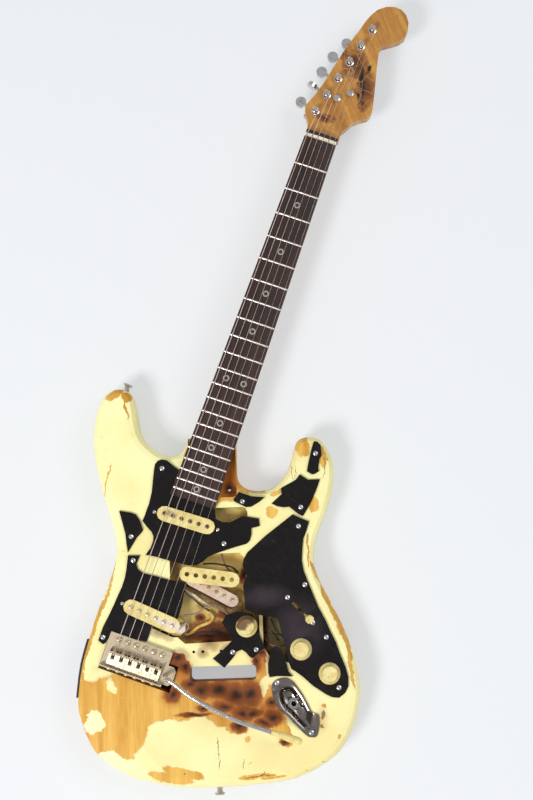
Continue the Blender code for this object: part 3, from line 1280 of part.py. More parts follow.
def make_selector():
    """The selector's blade and tip on a cross pin between the walls of its frame."""
    pivot = bpy.data.objects.new("selector_pivot", None)
    CUTTERS.objects.link(pivot)
    pivot.location = (*SELECTOR_PLACE, FACE_Z - SELECTOR_PIVOT_DEPTH)
    pivot.rotation_euler = (0, SELECTOR_SWING / 2, SELECTOR_TURN)
    half_wide = SELECTOR_BLADE_WIDTH / 2
    half_thick = SELECTOR_BLADE_THICKNESS / 2
    lever = box("selector_lever", (-half_wide, -half_thick, -0.002),
                (half_wide, half_thick, SELECTOR_BLADE_LENGTH), pivot)
    pin_half = SELECTOR_SLOT_WIDTH / 2 - SEAT_GAP
    pin = rod("selector_pin", 0.0016, -pin_half, pin_half, (0, 0), pivot, steps=8)
    pin.rotation_euler.x = math.pi / 2
    foot = SELECTOR_BLADE_LENGTH - 0.001
    tip = turned("selector_tip", [
        (0, foot + SELECTOR_TIP_LENGTH), (SELECTOR_TIP_RADIUS * 0.8, foot + SELECTOR_TIP_LENGTH),
        (SELECTOR_TIP_RADIUS, foot + SELECTOR_TIP_LENGTH - 0.0012),
        (SELECTOR_TIP_RADIUS * 0.94, foot + SELECTOR_TIP_LENGTH * 0.55),
        (SELECTOR_TIP_RADIUS * 0.56, foot + 0.001), (SELECTOR_TIP_RADIUS * 0.5, foot), (0, foot),
    ], pivot, steps=10)
    return finish(join(lever, pin, tip), "aged_plastic")


def scaled(loop, factor):
    """An outline drawn in about its own middle."""
    middle_x = sum(x for x, _ in loop) / len(loop)
    middle_y = sum(y for _, y in loop) / len(loop)
    return [(middle_x + (x - middle_x) * factor, middle_y + (y - middle_y) * factor)
            for x, y in loop]


def make_jack_plate():
    """A boat-shaped cup for the cable's plug, with the socket's tube below its floor."""
    edge = metres(JACK_PLATE_EDGE)
    high = GUARD_LOW + JACK_PLATE_THICKNESS
    floor = high - JACK_CUP_DEPTH
    wall = JACK_PLATE_THICKNESS
    jack_plate = plate("jack_plate", [edge], GUARD_LOW, high)
    cup = loft("jack_cup", [
        [(x, y, height) for x, y in scaled(edge, factor)]
        for factor, height in ((JACK_FLOOR_SHARE, floor - wall), (JACK_CUP_SHARE, high - wall / 2))
    ])
    hollow = loft("jack_hollow", [
        [(x, y, height) for x, y in scaled(edge, factor)]
        for factor, height in ((JACK_FLOOR_SHARE - 0.07, floor), (JACK_CUP_SHARE - 0.05, high + 0.001))
    ])
    bore = JACK_BORE / 2
    sleeve = rod("jack_sleeve", bore + JACK_TUBE_WALL, floor - JACK_TUBE_LENGTH, floor, JACK_PLACE)
    hole = rod("jack_bore", bore, floor - JACK_TUBE_LENGTH - 0.001, high + 0.01, JACK_PLACE)
    join(jack_plate, cup)
    cut(jack_plate, hollow)
    join(jack_plate, sleeve)
    return finish(cut(jack_plate, hole), "chrome")


def make_strap_buttons():
    """Turned strap buttons on the upper horn and the butt, at mid thickness."""
    profile = [
        (0, BUTTON_LENGTH), (BUTTON_HEAD_RADIUS - 0.0012, BUTTON_LENGTH),
        (BUTTON_HEAD_RADIUS, BUTTON_LENGTH - 0.001), (BUTTON_HEAD_RADIUS, BUTTON_LENGTH - 0.002),
        (BUTTON_NECK_RADIUS, BUTTON_LENGTH - 0.0038), (BUTTON_NECK_RADIUS, 0.0030),
        (BUTTON_HEAD_RADIUS * 0.8, 0.0), (0, 0.0),
    ]
    places = (("strap_button_top", TOP_BUTTON_PLACE, TOP_BUTTON_TURN),
              ("strap_button_bottom", BOTTOM_BUTTON_PLACE, BOTTOM_BUTTON_TURN))
    for name, place, turn in places:
        button = turned(name, profile, steps=10)
        button.rotation_euler = (-math.pi / 2, 0, turn)
        button.location = (*place, (BACK_Z + FACE_Z) / 2)
        finish(button, "chrome")


def make_side_strip():
    """A dark strip stuck along the lower bout's bass edge."""
    low_y, high_y = SIDE_STRIP_RANGE
    run = [Vector(point) for point in smooth_run(metres(BODY_EDGE), 2)
           if point[0] < 0 and low_y < point[1] < high_y]
    inner = []
    outer = []
    for index, point in enumerate(run):
        before = run[max(index - 1, 0)]
        after = run[min(index + 1, len(run) - 1)]
        along = (after - before).normalized()
        out = Vector((along.y, -along.x))
        inner.append(point + out * SEAT_GAP * 1.5)
        outer.append(point + out * (SEAT_GAP * 1.5 + SIDE_STRIP_THICKNESS))
    loop = [tuple(point) for point in inner + outer[::-1]]
    middle = (BACK_Z + FACE_Z) / 2
    return finish(plate("side_strip", [loop], middle - SIDE_STRIP_HEIGHT / 2,
                        middle + SIDE_STRIP_HEIGHT / 2), "black_rubber")


def make_cable():
    return finish(tube("cavity_cable", metres(CABLE_ROUTE), CABLE_RADIUS), "cable")


def clear_scene():
    for obj in list(bpy.data.objects):
        bpy.data.objects.remove(obj)


def build():
    make_body()
    make_neck()
    make_fretboard()
    make_nut()
    make_strings()
    make_string_trees()
    make_tuners()
    make_neck_plate()
    make_back_cover()
    make_springs()
    make_bridge_plate()
    make_vibrato_block()
    make_arm()
    make_saddles()
    make_pickups()
    make_loose_cover()
    make_guards()
    make_knobs()
    make_selector()
    make_jack_plate()
    make_strap_buttons()
    make_side_strip()
    make_cable()


clear_scene()
PARTS = new_collection("broken_guitar")
CUTTERS = new_collection("cutters")
NECK = bpy.data.objects.new("neck_frame", None)
CUTTERS.objects.link(NECK)
NECK.location = (*SADDLE_LINE, 0)
NECK.rotation_euler.z = -NECK_SKEW
build()
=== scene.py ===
"""The looks of a smashed electric guitar: its finishes, wear and burns, and the small hardware.

Everything is in the CAD model's frame, in metres. Places on the body are given in millimetres,
read by mm(). Pieces that line up with the neck are drawn in the neck's own frame, NECK.
"""

import math
import random

import bmesh
import bpy
from mathutils import Matrix, Vector


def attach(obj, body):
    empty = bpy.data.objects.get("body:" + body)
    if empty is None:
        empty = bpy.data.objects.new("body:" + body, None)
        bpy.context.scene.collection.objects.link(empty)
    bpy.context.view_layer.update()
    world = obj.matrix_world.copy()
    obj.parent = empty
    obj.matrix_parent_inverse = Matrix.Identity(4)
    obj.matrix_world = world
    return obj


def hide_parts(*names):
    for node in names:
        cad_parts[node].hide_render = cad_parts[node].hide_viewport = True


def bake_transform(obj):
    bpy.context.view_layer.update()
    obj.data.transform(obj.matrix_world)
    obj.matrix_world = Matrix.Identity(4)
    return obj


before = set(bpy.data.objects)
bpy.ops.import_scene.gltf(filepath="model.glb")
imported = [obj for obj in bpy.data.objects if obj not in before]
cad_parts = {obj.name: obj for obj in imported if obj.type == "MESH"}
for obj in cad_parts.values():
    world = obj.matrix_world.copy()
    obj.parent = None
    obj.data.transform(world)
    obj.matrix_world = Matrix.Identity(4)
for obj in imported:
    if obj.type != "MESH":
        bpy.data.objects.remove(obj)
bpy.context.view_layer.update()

# The neck's frame: +Y to the nut, from the middle of the saddle line
SADDLE_LINE = (-0.0890, -0.2116)
NECK_SKEW = math.radians(20.87)
NECK = Matrix.Translation((*SADDLE_LINE, 0)) @ Matrix.Rotation(-NECK_SKEW, 4, "Z")

# Sizes that repeat those of the CAD model
SCALE_LENGTH = 0.6477
FRET_COUNT = 21
NUT_WIDTH = 0.040
NECK_END_WIDTH = 0.0545
BOARD_RADIUS = 0.241
BOARD_TOP_Z = 0.0544
BOARD_LOW_Z = 0.0497
BOARD_ENDS = (0.1840, 0.6565)
FRET_HEIGHT = 0.0011
FACE_Z = 0.046
GUARD_TOP = 0.0483
PLATE_TOP = 0.0512
HEAD_Z = 0.0455
SADDLE_STRING_Z = 0.0596
BRIDGE_PITCH = 0.0105
POLE_PITCH = 0.0104
POST_PITCH = 0.02547
POST_LEAN = math.radians(15.0)
FIRST_POST = (-0.0184, 0.6835)
PICKUP_TOP = 0.0520
GUARD_LOW = 0.0463
CAVITY_FLOOR_Z = 0.026
JACK_PLATE_THICKNESS = 0.0014
JACK_CUP_DEPTH = 0.0110
JACK_PLACE = (0.0867, -0.2746)
ARM_RADIUS = 0.0025
CABLE_RADIUS = 0.0021
COIL_DEPTH = 0.0110
BASE_THICKNESS = 0.0024
BASE_HALF_WIDTH = 0.0105
STRING_RADII = (0.00058, 0.00047, 0.00034, 0.00022, 0.00018, 0.00015)

# The camera, fitted to the frets
CAMERA_PLACE = (0.05931, -0.14989, 1.52949)
CAMERA_TIP = math.radians(8.72)
CAMERA_ROLL = math.radians(1.8)
SENSOR_WIDTH = 36.0
FOCAL_SHARE = 1.585               # focal length over the picture's height
KEY_LIGHT = ("key", (-1.6, -1.5, 2.6), 73.0, 0.9)
FILL_LIGHT = ("fill", (1.9, 0.7, 2.4), 20.0, 1.6)
LIT_PLACE = (0, -0.05, 0)
WORLD_STRENGTH = 0.48
FLOOR_REACH = 6.0
FLOOR_Z = -0.0005
FLOOR_GLOW = 0.5                  # share of its own light in what the camera sees of it


def mm(*values):
    """Millimetres as metres."""
    return tuple(value / 1000 for value in values)


def srgb(red, green, blue):
    """A colour as written in a picture, as Blender's linear colour."""
    channels = []
    for value in (red, green, blue):
        share = value / 255
        channels.append(share / 12.92 if share <= 0.04045 else ((share + 0.055) / 1.055) ** 2.4)
    return (*channels, 1.0)


# Node materials


class Finish:
    """Builds one node material. Places in it are millimetres in the object's own frame."""

    def __init__(self, name, colour, roughness=0.5, metallic=0.0):
        self.material = bpy.data.materials.new(name)
        self.material.use_nodes = True
        self.tree = self.material.node_tree
        self.shader = self.tree.nodes["Principled BSDF"]
        self.shader.inputs["Base Color"].default_value = colour
        self.shader.inputs["Roughness"].default_value = roughness
        self.shader.inputs["Metallic"].default_value = metallic
        source = self.node("TexCoord").outputs["Object"]
        self.place = self.vector("SCALE", source, scale=1000.0)

    def node(self, kind):
        return self.tree.nodes.new("ShaderNode" + kind)

    def put(self, socket, value):
        if isinstance(value, bpy.types.NodeSocket):
            self.tree.links.new(value, socket)
        elif value is not None:
            socket.default_value = value

    def vector(self, operation, first, second=None, scale=None):
        node = self.node("VectorMath")
        node.operation = operation
        self.put(node.inputs[0], first)
        self.put(node.inputs[1], second)
        if scale is not None:
            self.put(node.inputs["Scale"], scale)
        return node.outputs[0]

    def maths(self, operation, first, second=None, third=None):
        node = self.node("Math")
        node.operation = operation
        for socket, value in zip(node.inputs, (first, second, third)):
            self.put(socket, value)
        return node.outputs[0]

    def times(self, first, second):
        return self.maths("MULTIPLY", first, second)

    def part(self, vector, axis):
        """One coordinate of a vector."""
        node = self.node("SeparateXYZ")
        self.put(node.inputs[0], vector)
        return node.outputs["XYZ".index(axis)]

    def stretch(self, scale, vector=None, turn=0.0):
        """The place, turned about Z and scaled along each axis."""
        node = self.node("Mapping")
        node.vector_type = "TEXTURE"
        node.inputs["Rotation"].default_value = (0, 0, turn)
        self.put(node.inputs["Vector"], vector or self.place)
        return self.vector("MULTIPLY", node.outputs[0], tuple(scale))

    def noise(self, size, detail=4.0, rough=0.55, vector=None, warp=0.0):
        """Noise from 0 to 1 with features of about the size in millimetres."""
        node = self.node("TexNoise")
        self.put(node.inputs["Vector"], vector or self.place)
        node.inputs["Scale"].default_value = 1.0 / size
        node.inputs["Detail"].default_value = detail
        node.inputs["Roughness"].default_value = rough
        node.inputs["Distortion"].default_value = warp
        return node.outputs[0]

    def cells(self, size, vector=None):
        """The distance to the edge of cells of about the size in millimetres."""
        node = self.node("TexVoronoi")
        node.feature = "DISTANCE_TO_EDGE"
        self.put(node.inputs["Vector"], vector or self.place)
        node.inputs["Scale"].default_value = 1.0 / size
        return node.outputs["Distance"]

    def step(self, value, low, high):
        """0 below low, 1 above high, smooth between."""
        node = self.node("MapRange")
        node.interpolation_type = "SMOOTHSTEP"
        self.put(node.inputs["Value"], value)
        node.inputs["From Min"].default_value = low
        node.inputs["From Max"].default_value = high
        return node.outputs["Result"]

    def patches(self, size, detail, rough, low, high):
        """Noise turned into patches with soft rims."""
        return self.step(self.noise(size, detail, rough), low, high)

    def fall(self, value, low, high):
        """1 below low, 0 above high."""
        return self.maths("SUBTRACT", 1.0, self.step(value, low, high))

    def mix(self, share, first, second):
        node = self.node("Mix")
        node.data_type = "RGBA"
        self.put(node.inputs[0], share)
        self.put(node.inputs[6], first)
        self.put(node.inputs[7], second)
        return node.outputs[2]

    def blend(self, share, first, second):
        """Two numbers mixed."""
        node = self.node("Mix")
        node.data_type = "FLOAT"
        self.put(node.inputs[0], share)
        self.put(node.inputs[2], first)
        self.put(node.inputs[3], second)
        return node.outputs[0]

    def warped(self, size, amount, vector=None):
        """The place pushed about by noise, so that drawn shapes get ragged edges."""
        node = self.node("TexNoise")
        self.put(node.inputs["Vector"], vector or self.place)
        node.inputs["Scale"].default_value = 1.0 / size
        node.inputs["Detail"].default_value = 5.0
        node.inputs["Roughness"].default_value = 0.6
        centred = self.vector("SUBTRACT", node.outputs["Color"], (0.5, 0.5, 0.5))
        moved = self.vector("SCALE", centred, scale=2 * amount)
        return self.vector("ADD", vector or self.place, moved)

    def spots(self, shapes, vector):
        """The height of the tallest of several domes: 1 in a shape's middle, 0 at its rim.

        Each shape is (x, y, half length, half width, turn in degrees).
        """
        tallest = None
        group = spot_group()
        for x, y, along, across, *turn in shapes:
            node = self.node("Group")
            node.node_tree = group
            self.put(node.inputs["Place"], vector)
            node.inputs["Middle"].default_value = (x, y, 0)
            node.inputs["Share"].default_value = (1 / along, 1 / across, 0)
            node.inputs["Turn"].default_value = -math.radians(turn[0]) if turn else 0.0
            height = node.outputs[0]
            tallest = height if tallest is None else self.maths("MAXIMUM", tallest, height)
        return tallest

    def bump(self, height, distance, strength=1.0):
        """Adds relief. The distance is in millimetres."""
        node = self.node("Bump")
        node.inputs["Strength"].default_value = strength
        node.inputs["Distance"].default_value = distance / 1000
        self.put(node.inputs["Height"], height)
        before = self.shader.inputs["Normal"].links
        if before:
            self.put(node.inputs["Normal"], before[0].from_socket)
        self.put(self.shader.inputs["Normal"], node.outputs[0])

    def set(self, **values):
        """Sets the shader's sockets, with underscores for spaces."""
        for name, value in values.items():
            self.put(self.shader.inputs[name.replace("_", " ")], value)

    def facing(self, axis):
        """How far the surface faces along an axis."""
        geometry = self.node("NewGeometry")
        return self.part(geometry.outputs["True Normal"], axis)


def spot_group():
    """The node group behind Finish.spots."""
    group = bpy.data.node_groups.get("spot")
    if group:
        return group
    group = bpy.data.node_groups.new("spot", "ShaderNodeTree")
    for name, kind in (("Place", "Vector"), ("Middle", "Vector"), ("Share", "Vector"),
                       ("Turn", "Float")):
        group.interface.new_socket(name, in_out="INPUT", socket_type=f"NodeSocket{kind}")
    group.interface.new_socket("Height", in_out="OUTPUT", socket_type="NodeSocketFloat")
    given = group.nodes.new("NodeGroupInput")
    result = group.nodes.new("NodeGroupOutput")
    moved, turned, scaled, length, height = (
        group.nodes.new(f"ShaderNode{kind}")
        for kind in ("VectorMath", "VectorRotate", "VectorMath", "VectorMath", "Math")
    )
    moved.operation = height.operation = "SUBTRACT"
    turned.rotation_type = "Z_AXIS"
    scaled.operation = "MULTIPLY"
    length.operation = "LENGTH"
    height.inputs[0].default_value = 1.0
    for source, target in (
        (given.outputs["Place"], moved.inputs[0]), (given.outputs["Middle"], moved.inputs[1]),
        (moved.outputs[0], turned.inputs["Vector"]), (given.outputs["Turn"], turned.inputs["Angle"]),
        (turned.outputs[0], scaled.inputs[0]), (given.outputs["Share"], scaled.inputs[1]),
        (scaled.outputs[0], length.inputs[0]), (length.outputs["Value"], height.inputs[1]),
        (height.outputs[0], result.inputs[0]),
    ):
        group.links.new(source, target)
    return group


# Finishes

# Marks on the body, in millimetres: x, y, half length, half width, turn in degrees
BARE_WOOD = (
    (-112, -262, 52, 26), (-60, -262, 60, 30), (-15, -262, 50, 24), (28, -268, 38, 26, -20),
    (-115, -285, 42, 30), (-105, -302, 30, 22), (-128, -308, 18, 14, 20), (-108, -323, 13, 5, -25),
    (-55, -352, 26, 6, -8), (40, -352, 22, 3, 5), (-42, -345, 30, 7, -14), (-140, -258, 16, 14),
    (-152, -262, 12, 24), (-145, -312, 16, 9, -50), (52, -294, 26, 10, -30), (75, -303, 24, 7, -38),
    (20, -302, 16, 9), (32, -312, 6, 6), (76, -318, 12, 7, -20), (15, -285, 32, 18, -10),
    (-46, -228, 16, 22), (-30, -246, 26, 14), (48, -230, 9, 26), (60, -268, 12, 16),
    (-1, -314, 3, 6), (62, -290, 16, 14), (108, 22, 9, 13, 5), (131, 13, 4, 10, 20), (130, 4, 4, 8),
    (118, -48, 6, 8), (68.5, -55.5, 8, 7), (76, -31, 9, 3, 15), (-112, 90, 11, 5, 25),
    (-99, 86, 6, 5, -40), (-101, 72, 1.5, 13, 5), (-124, -12, 1, 22, -12), (-118, -102, 1.2, 20, 6),
    (122, -135, 2.6, 26, 24), (134, -168, 3.0, 30, 24), (146, -200, 3.0, 28, 18),
    (153, -235, 2.2, 26, 8), (109, -100, 1.4, 22), (-131, -157, 2.6, 26, -24),
    (-146, -200, 2.6, 40, -16), (-154, -235, 2.2, 30, -6), (-119, -124, 2.0, 18, -12),
    (137, -312, 4, 2, 45), (118, -338, 5, 2, 20), (60, -354, 14, 1.6, 6), (120, -276, 4, 3),
    (20, -20, 14, 22), (25, 0, 9, 24), (0, -30, 30, 12),
)
PAINT_ISLANDS = (
    (-118, -253, 17, 9, -52), (-110, -262, 6, 14, 15), (-137, -289, 17, 14, 30),
    (-140, -281, 12, 10), (-55, -305, 33, 20), (0, -325, 90, 34), (-20, -298, 22, 13),
    (53, -256, 7, 14), (-52, -324, 40, 24), (100, -300, 18, 40, -40), (110, -322, 40, 30, -20),
    (-30, -205, 34, 9, 2), (-22, -214, 16, 12), (33, -222, 14, 4, 10),
)
BURNS = (
    (-42, -217, 15, 13), (-36, -228, 10, 8), (-52, -259, 12, 11), (-31, -249, 15, 10, -10),
    (-17, -255, 18, 13), (3, -256, 20, 14), (22, -262, 22, 17), (37, -262, 17, 20),
    (45, -225, 8, 18), (28, -284, 20, 11, -18), (62, -272, 9, 8), (63, -288, 13, 11),
    (52, -294, 14, 8), (23, -299, 12, 9), (-17, -275, 10, 6), (5, -275, 16, 9), (-16, -212, 7, 7),
    (-8, -203, 14, 9), (14, -212, 14, 10), (60, -222, 7, 10), (33, -126, 6, 14), (12, -170, 12, 9),
    (-18, -173, 9, 7), (0, -190, 42, 16), (-64, -190, 20, 8, -20), (52, -216, 10, 8),
    (76, -262, 14, 12), (20, -24, 9, 9), (74, -318, 8, 6), (-28, -283, 26, 3), (53, -184, 7, 26),
    (53, -206, 9, 12), (-12, -196, 30, 8), (40, -284, 16, 7),
)
SMOKE = (
    (-40, -232, 34, 34), (20, -268, 66, 40), (0, -190, 62, 30), (50, -226, 22, 30),
    (20, -58, 26, 10), (14, -108, 24, 10), (-52, -259, 20, 20), (60, -280, 30, 24),
    (118, -290, 10, 24), (18, -18, 22, 26),
)
LIT_FLOOR = (
    (60, -192, 20, 26, -20), (12, -108, 40, 14), (-34, -160, 14, 26), (76, -206, 18, 16),
    (-14, -128, 22, 12),
)
CRACKS = (
    (94, -10, 0.5, 14, 8), (98, -8, 0.4, 12, -4), (119, -287, 3, 7), (43, -352, 18, 0.8, 5),
    (28, -338, 0.8, 5), (36, -338, 2, 0.6, 20), (51, -348, 1.2, 1), (118, -299, 2.4, 2.0),
    (-1, -320, 0.6, 14), (1, -338, 0.6, 8), (-38, -349, 0.8, 1.2), (131, -4, 0.6, 16, -8),
)


def wood_colour(look, light, dark, turn=0.0, size=1.0, vector=None):
    """Long grain along Y, with darker growth lines and fine pores."""
    long_way = look.stretch((1.0, 0.045, 0.3), vector, turn)
    broad = look.noise(13 * size, 3.0, 0.5, long_way, 0.6)
    fine = look.noise(1.3 * size, 4.0, 0.6, long_way)
    share = look.maths("MULTIPLY_ADD", broad, 0.9, look.times(fine, 0.5))
    return look.mix(look.step(share, 0.42, 0.95), light, dark), fine


def body_finish():
    look = Finish("aged_cream_paint", srgb(250, 242, 172), 0.3)
    rough_place = look.warped(26, 7.5)
    fine_place = look.warped(5, 2.2, rough_place)
    bare = look.spots(BARE_WOOD, fine_place)
    islands = look.spots(PAINT_ISLANDS, fine_place)
    height = look.part(look.place, "Z")
    ragged = look.noise(7, 5.0, 0.65)
    chips = look.noise(2.2, 3.0, 0.6)

    # Paint is worn off where a bare shape outweighs an island of paint
    worn = look.maths("SUBTRACT", bare, look.maths("MAXIMUM", islands, 0.0))
    worn = look.maths("MULTIPLY_ADD", look.maths("SUBTRACT", ragged, 0.5), 0.22, worn)
    bare_share = look.step(worn, 0.0, 0.05)

    # Scattered small chips, thicker along the edge of the lower bout
    y = look.part(look.place, "Y")
    low_edge = look.times(look.fall(height, 38, 45), look.fall(y, -330, -90))
    chance = look.maths("MULTIPLY_ADD", low_edge, 0.09, look.noise(30, 2.0, 0.5))
    small = look.step(look.times(chips, chance), 0.46, 0.48)
    bare_share = look.maths("MAXIMUM", bare_share, small)

    # Hollows below the face are routed: paint went on their walls, then dirt
    deep = look.fall(height, 40.0, 45.6)
    inside = look.spots(((0, -112, 82, 128), (100, -205, 56, 52, -50)), look.place)
    pocket = look.spots(((4, -10, 42, 60),), look.place)
    routed = look.times(deep, look.step(inside, 0.0, 0.02))
    pocket_share = look.times(look.fall(height, 44.0, 45.8), look.step(pocket, 0.0, 0.05))
    bare_share = look.maths("MAXIMUM", bare_share, pocket_share)
    rout = look.times(look.fall(height, 44.0, 45.8), look.step(
        look.spots(((0, -66, 62, 22),), look.place), 0.0, 0.05))
    bare_share = look.times(bare_share, look.maths("SUBTRACT", 1.0, rout))

    wood, grain = wood_colour(look, srgb(240, 190, 92), srgb(206, 146, 48))
    mottled = look.noise(60, 3.0, 0.5)
    paint = look.mix(look.step(mottled, 0.35, 0.75), srgb(255, 249, 184), srgb(246, 232, 160))
    grime = look.patches(9, 6.0, 0.7, 0.56, 0.78)
    paint = look.mix(look.times(grime, 0.35), paint, srgb(206, 176, 104))
    lower = look.fall(y, -330, -150)
    paint = look.mix(look.times(lower, 0.30), paint, srgb(240, 216, 150))
    cavity = look.mix(look.patches(16, 5.0, 0.7, 0.35, 0.65), srgb(230, 204, 114),
                      srgb(172, 132, 62))
    paint = look.mix(routed, paint, cavity)
    lit = look.step(look.spots(LIT_FLOOR, fine_place), 0.0, 0.5)
    paint = look.mix(look.times(routed, lit), paint, srgb(250, 226, 140))
    dusty = look.patches(12, 4.0, 0.6, 0.35, 0.7)
    paint = look.mix(rout, paint, look.mix(dusty, srgb(222, 206, 124), srgb(190, 164, 84)))

    # A dark rim where the paint has come away, as its edge holds dirt
    rim = look.times(look.step(worn, -0.10, 0.0), look.fall(worn, 0.0, 0.06))
    colour = look.mix(bare_share, paint, wood)
    colour = look.mix(look.times(rim, 0.25), colour, srgb(180, 120, 50))

    smoke = look.step(look.spots(SMOKE, rough_place), 0.0, 0.9)
    smoke_share = look.times(smoke, look.blend(bare_share, 0.35, 0.8))
    colour = look.mix(smoke_share, colour, srgb(176, 92, 22))
    burns = look.spots(BURNS, rough_place)
    burns = look.maths("MULTIPLY_ADD", look.maths("SUBTRACT", ragged, 0.5), 0.35, burns)
    on_paint = look.blend(look.maths("MAXIMUM", bare_share, routed), 0.45, 1.0)
    scorch = look.times(look.step(burns, -0.05, 0.42), on_paint)
    colour = look.mix(scorch, colour, srgb(140, 72, 16))
    char = look.times(look.step(burns, 0.36, 1.0), on_paint)
    colour = look.mix(char, colour, srgb(42, 18, 8))
    lines = look.step(look.spots(CRACKS, fine_place), 0.0, 0.3)
    colour = look.mix(look.times(lines, 0.75), colour, srgb(92, 58, 24))

    crackle = look.fall(look.cells(24), 0.0, 0.012)
    roughness = look.blend(bare_share, 0.38, 0.6)
    roughness = look.blend(char, roughness, 0.7)
    look.set(Base_Color=colour, Roughness=roughness, Specular_IOR_Level=0.35)
    relief = look.times(bare_share, -1.0)
    look.bump(relief, 0.35, 0.7)
    look.bump(look.times(grain, bare_share), 0.12, 0.6)
    look.bump(crackle, -0.05, 0.2)
    return look.material


def maple_finish():
    look = Finish("scorched_maple", srgb(196, 140, 60), 0.35)
    place = look.warped(22, 5)
    wood, grain = wood_colour(look, srgb(216, 160, 76), srgb(160, 100, 36), NECK_SKEW)
    flame = look.noise(9, 3.0, 0.5, look.stretch((0.35, 1.4, 1), None, NECK_SKEW))
    wood = look.mix(look.times(look.step(flame, 0.4, 0.7), 0.35), wood, srgb(176, 112, 44))
    burnt = look.spots((
        (189, 492, 21, 25), (200, 462, 15, 30), (176, 508, 9, 12), (196, 440, 8, 12),
        (150, 425, 16, 6, -20),
    ), place)
    burnt = look.maths("MULTIPLY_ADD", look.maths("SUBTRACT", look.noise(6, 5.0, 0.7), 0.5),
                       0.5, burnt)
    colour = look.mix(look.times(look.step(burnt, 0.0, 0.35), 0.85), wood, srgb(132, 74, 24))
    colour = look.mix(look.times(look.step(burnt, 0.35, 0.8), 0.8), colour, srgb(84, 40, 12))
    stroke = look.spots(((197, 468, 4.5, 27, -2), (191, 448, 3, 10, 20), (206, 484, 3, 9, -30)),
                        look.warped(7, 4, place))
    colour = look.mix(look.step(stroke, 0.0, 0.55), colour, srgb(22, 9, 6))
    splits = look.fall(look.cells(19, vector=place), 0.0, 0.03)
    splits = look.times(splits, look.step(burnt, 0.0, 0.3))
    colour = look.mix(look.times(splits, 0.6), colour, srgb(206, 160, 96))
    stains = look.patches(14, 6.0, 0.7, 0.56, 0.74)
    colour = look.mix(look.times(stains, 0.45), colour, srgb(120, 70, 24))
    look.set(Base_Color=colour, Roughness=look.blend(stains, 0.30, 0.5), Coat_Weight=0.25,
             Coat_Roughness=0.12)
    look.bump(grain, 0.05, 0.4)
    return look.material


def board_finish():
    """Dark open-pored wood with ring inlays, in the neck's frame."""
    look = Finish("dark_fretboard", srgb(42, 24, 20), 0.5)
    wood, grain = wood_colour(look, srgb(66, 38, 30), srgb(26, 14, 12), 0.0, 0.6)
    pores = look.step(look.noise(0.5, 2.0, 0.5, look.stretch((1.0, 0.05, 1.0))), 0.60, 0.70)
    colour = look.mix(look.times(pores, 0.6), wood, srgb(14, 8, 6))
    rings = []
    for fret in (3, 5, 7, 9, 12, 15, 17, 19, 21):
        behind = SCALE_LENGTH / 2 ** ((fret - 1) / 12)
        at = SCALE_LENGTH / 2 ** (fret / 12)
        y = 1000 * (behind + at) / 2
        rings += [(x, y, 4.0, 4.0) for x in ((-11, 11) if fret == 12 else (0,))]
    dome = look.spots(rings, look.place)
    up = look.step(look.part(look.place, "Z"), 52.5, 53.0)
    ring = look.times(look.step(dome, 0.0, 0.08), up)
    middle = look.step(dome, 0.42, 0.50)
    pearl = look.mix(look.noise(1.2, 4.0, 0.6, None, 1.0), srgb(120, 112, 104), srgb(196, 188, 180))
    colour = look.mix(ring, colour, pearl)
    colour = look.mix(look.times(middle, up), colour, srgb(52, 44, 40))
    look.set(Base_Color=colour, Roughness=look.blend(ring, 0.48, 0.25))
    look.bump(grain, 0.06, 0.5)
    return look.material


def metal_finish(name, colour, dull, roughness, stain, stain_share, size=6.0):
    """Plated metal with dull, stained and pitted places."""
    look = Finish(name, colour, roughness, 1.0)
    worn = look.patches(size, 6.0, 0.7, 0.45, 0.72)
    spots = look.patches(size / 4, 4.0, 0.6, 0.58, 0.70)
    shade = look.mix(worn, colour, dull)
    shade = look.mix(look.times(spots, stain_share), shade, stain)
    look.set(
        Base_Color=shade,
        Roughness=look.blend(worn, roughness, min(roughness + 0.22, 0.8)),
        Metallic=look.blend(look.times(spots, stain_share), 1.0, 0.3),
    )
    look.bump(look.noise(size / 8, 3.0, 0.6), 0.01, 0.5)
    return look.material


def string_finish():
    look = Finish("wound_steel", srgb(230, 214, 206), 0.38, 1.0)
    tarnish = look.patches(22, 4.0, 0.6, 0.40, 0.70)
    look.set(Base_Color=look.mix(tarnish, srgb(248, 232, 226), srgb(200, 172, 160)),
             Roughness=look.blend(tarnish, 0.34, 0.5))
    turns = look.part(look.stretch((1, 1, 1), None, NECK_SKEW), "Y")
    look.bump(look.maths("SINE", look.times(turns, 14.0)), 0.04, 0.5)
    return look.material


def plastic_finish(name, fresh, aged, dirt):
    look = Finish(name, fresh, 0.38)
    grime = look.patches(4.5, 6.0, 0.7, 0.52, 0.74)
    colour = look.mix(look.patches(18.0, 4.0, 0.6, 0.35, 0.70), fresh, aged)
    colour = look.mix(look.times(grime, 0.6), colour, dirt)
    look.set(Base_Color=colour, Roughness=look.blend(grime, 0.38, 0.6))
    look.bump(look.noise(0.9, 4.0, 0.7), 0.02, 0.4)
    return look.material


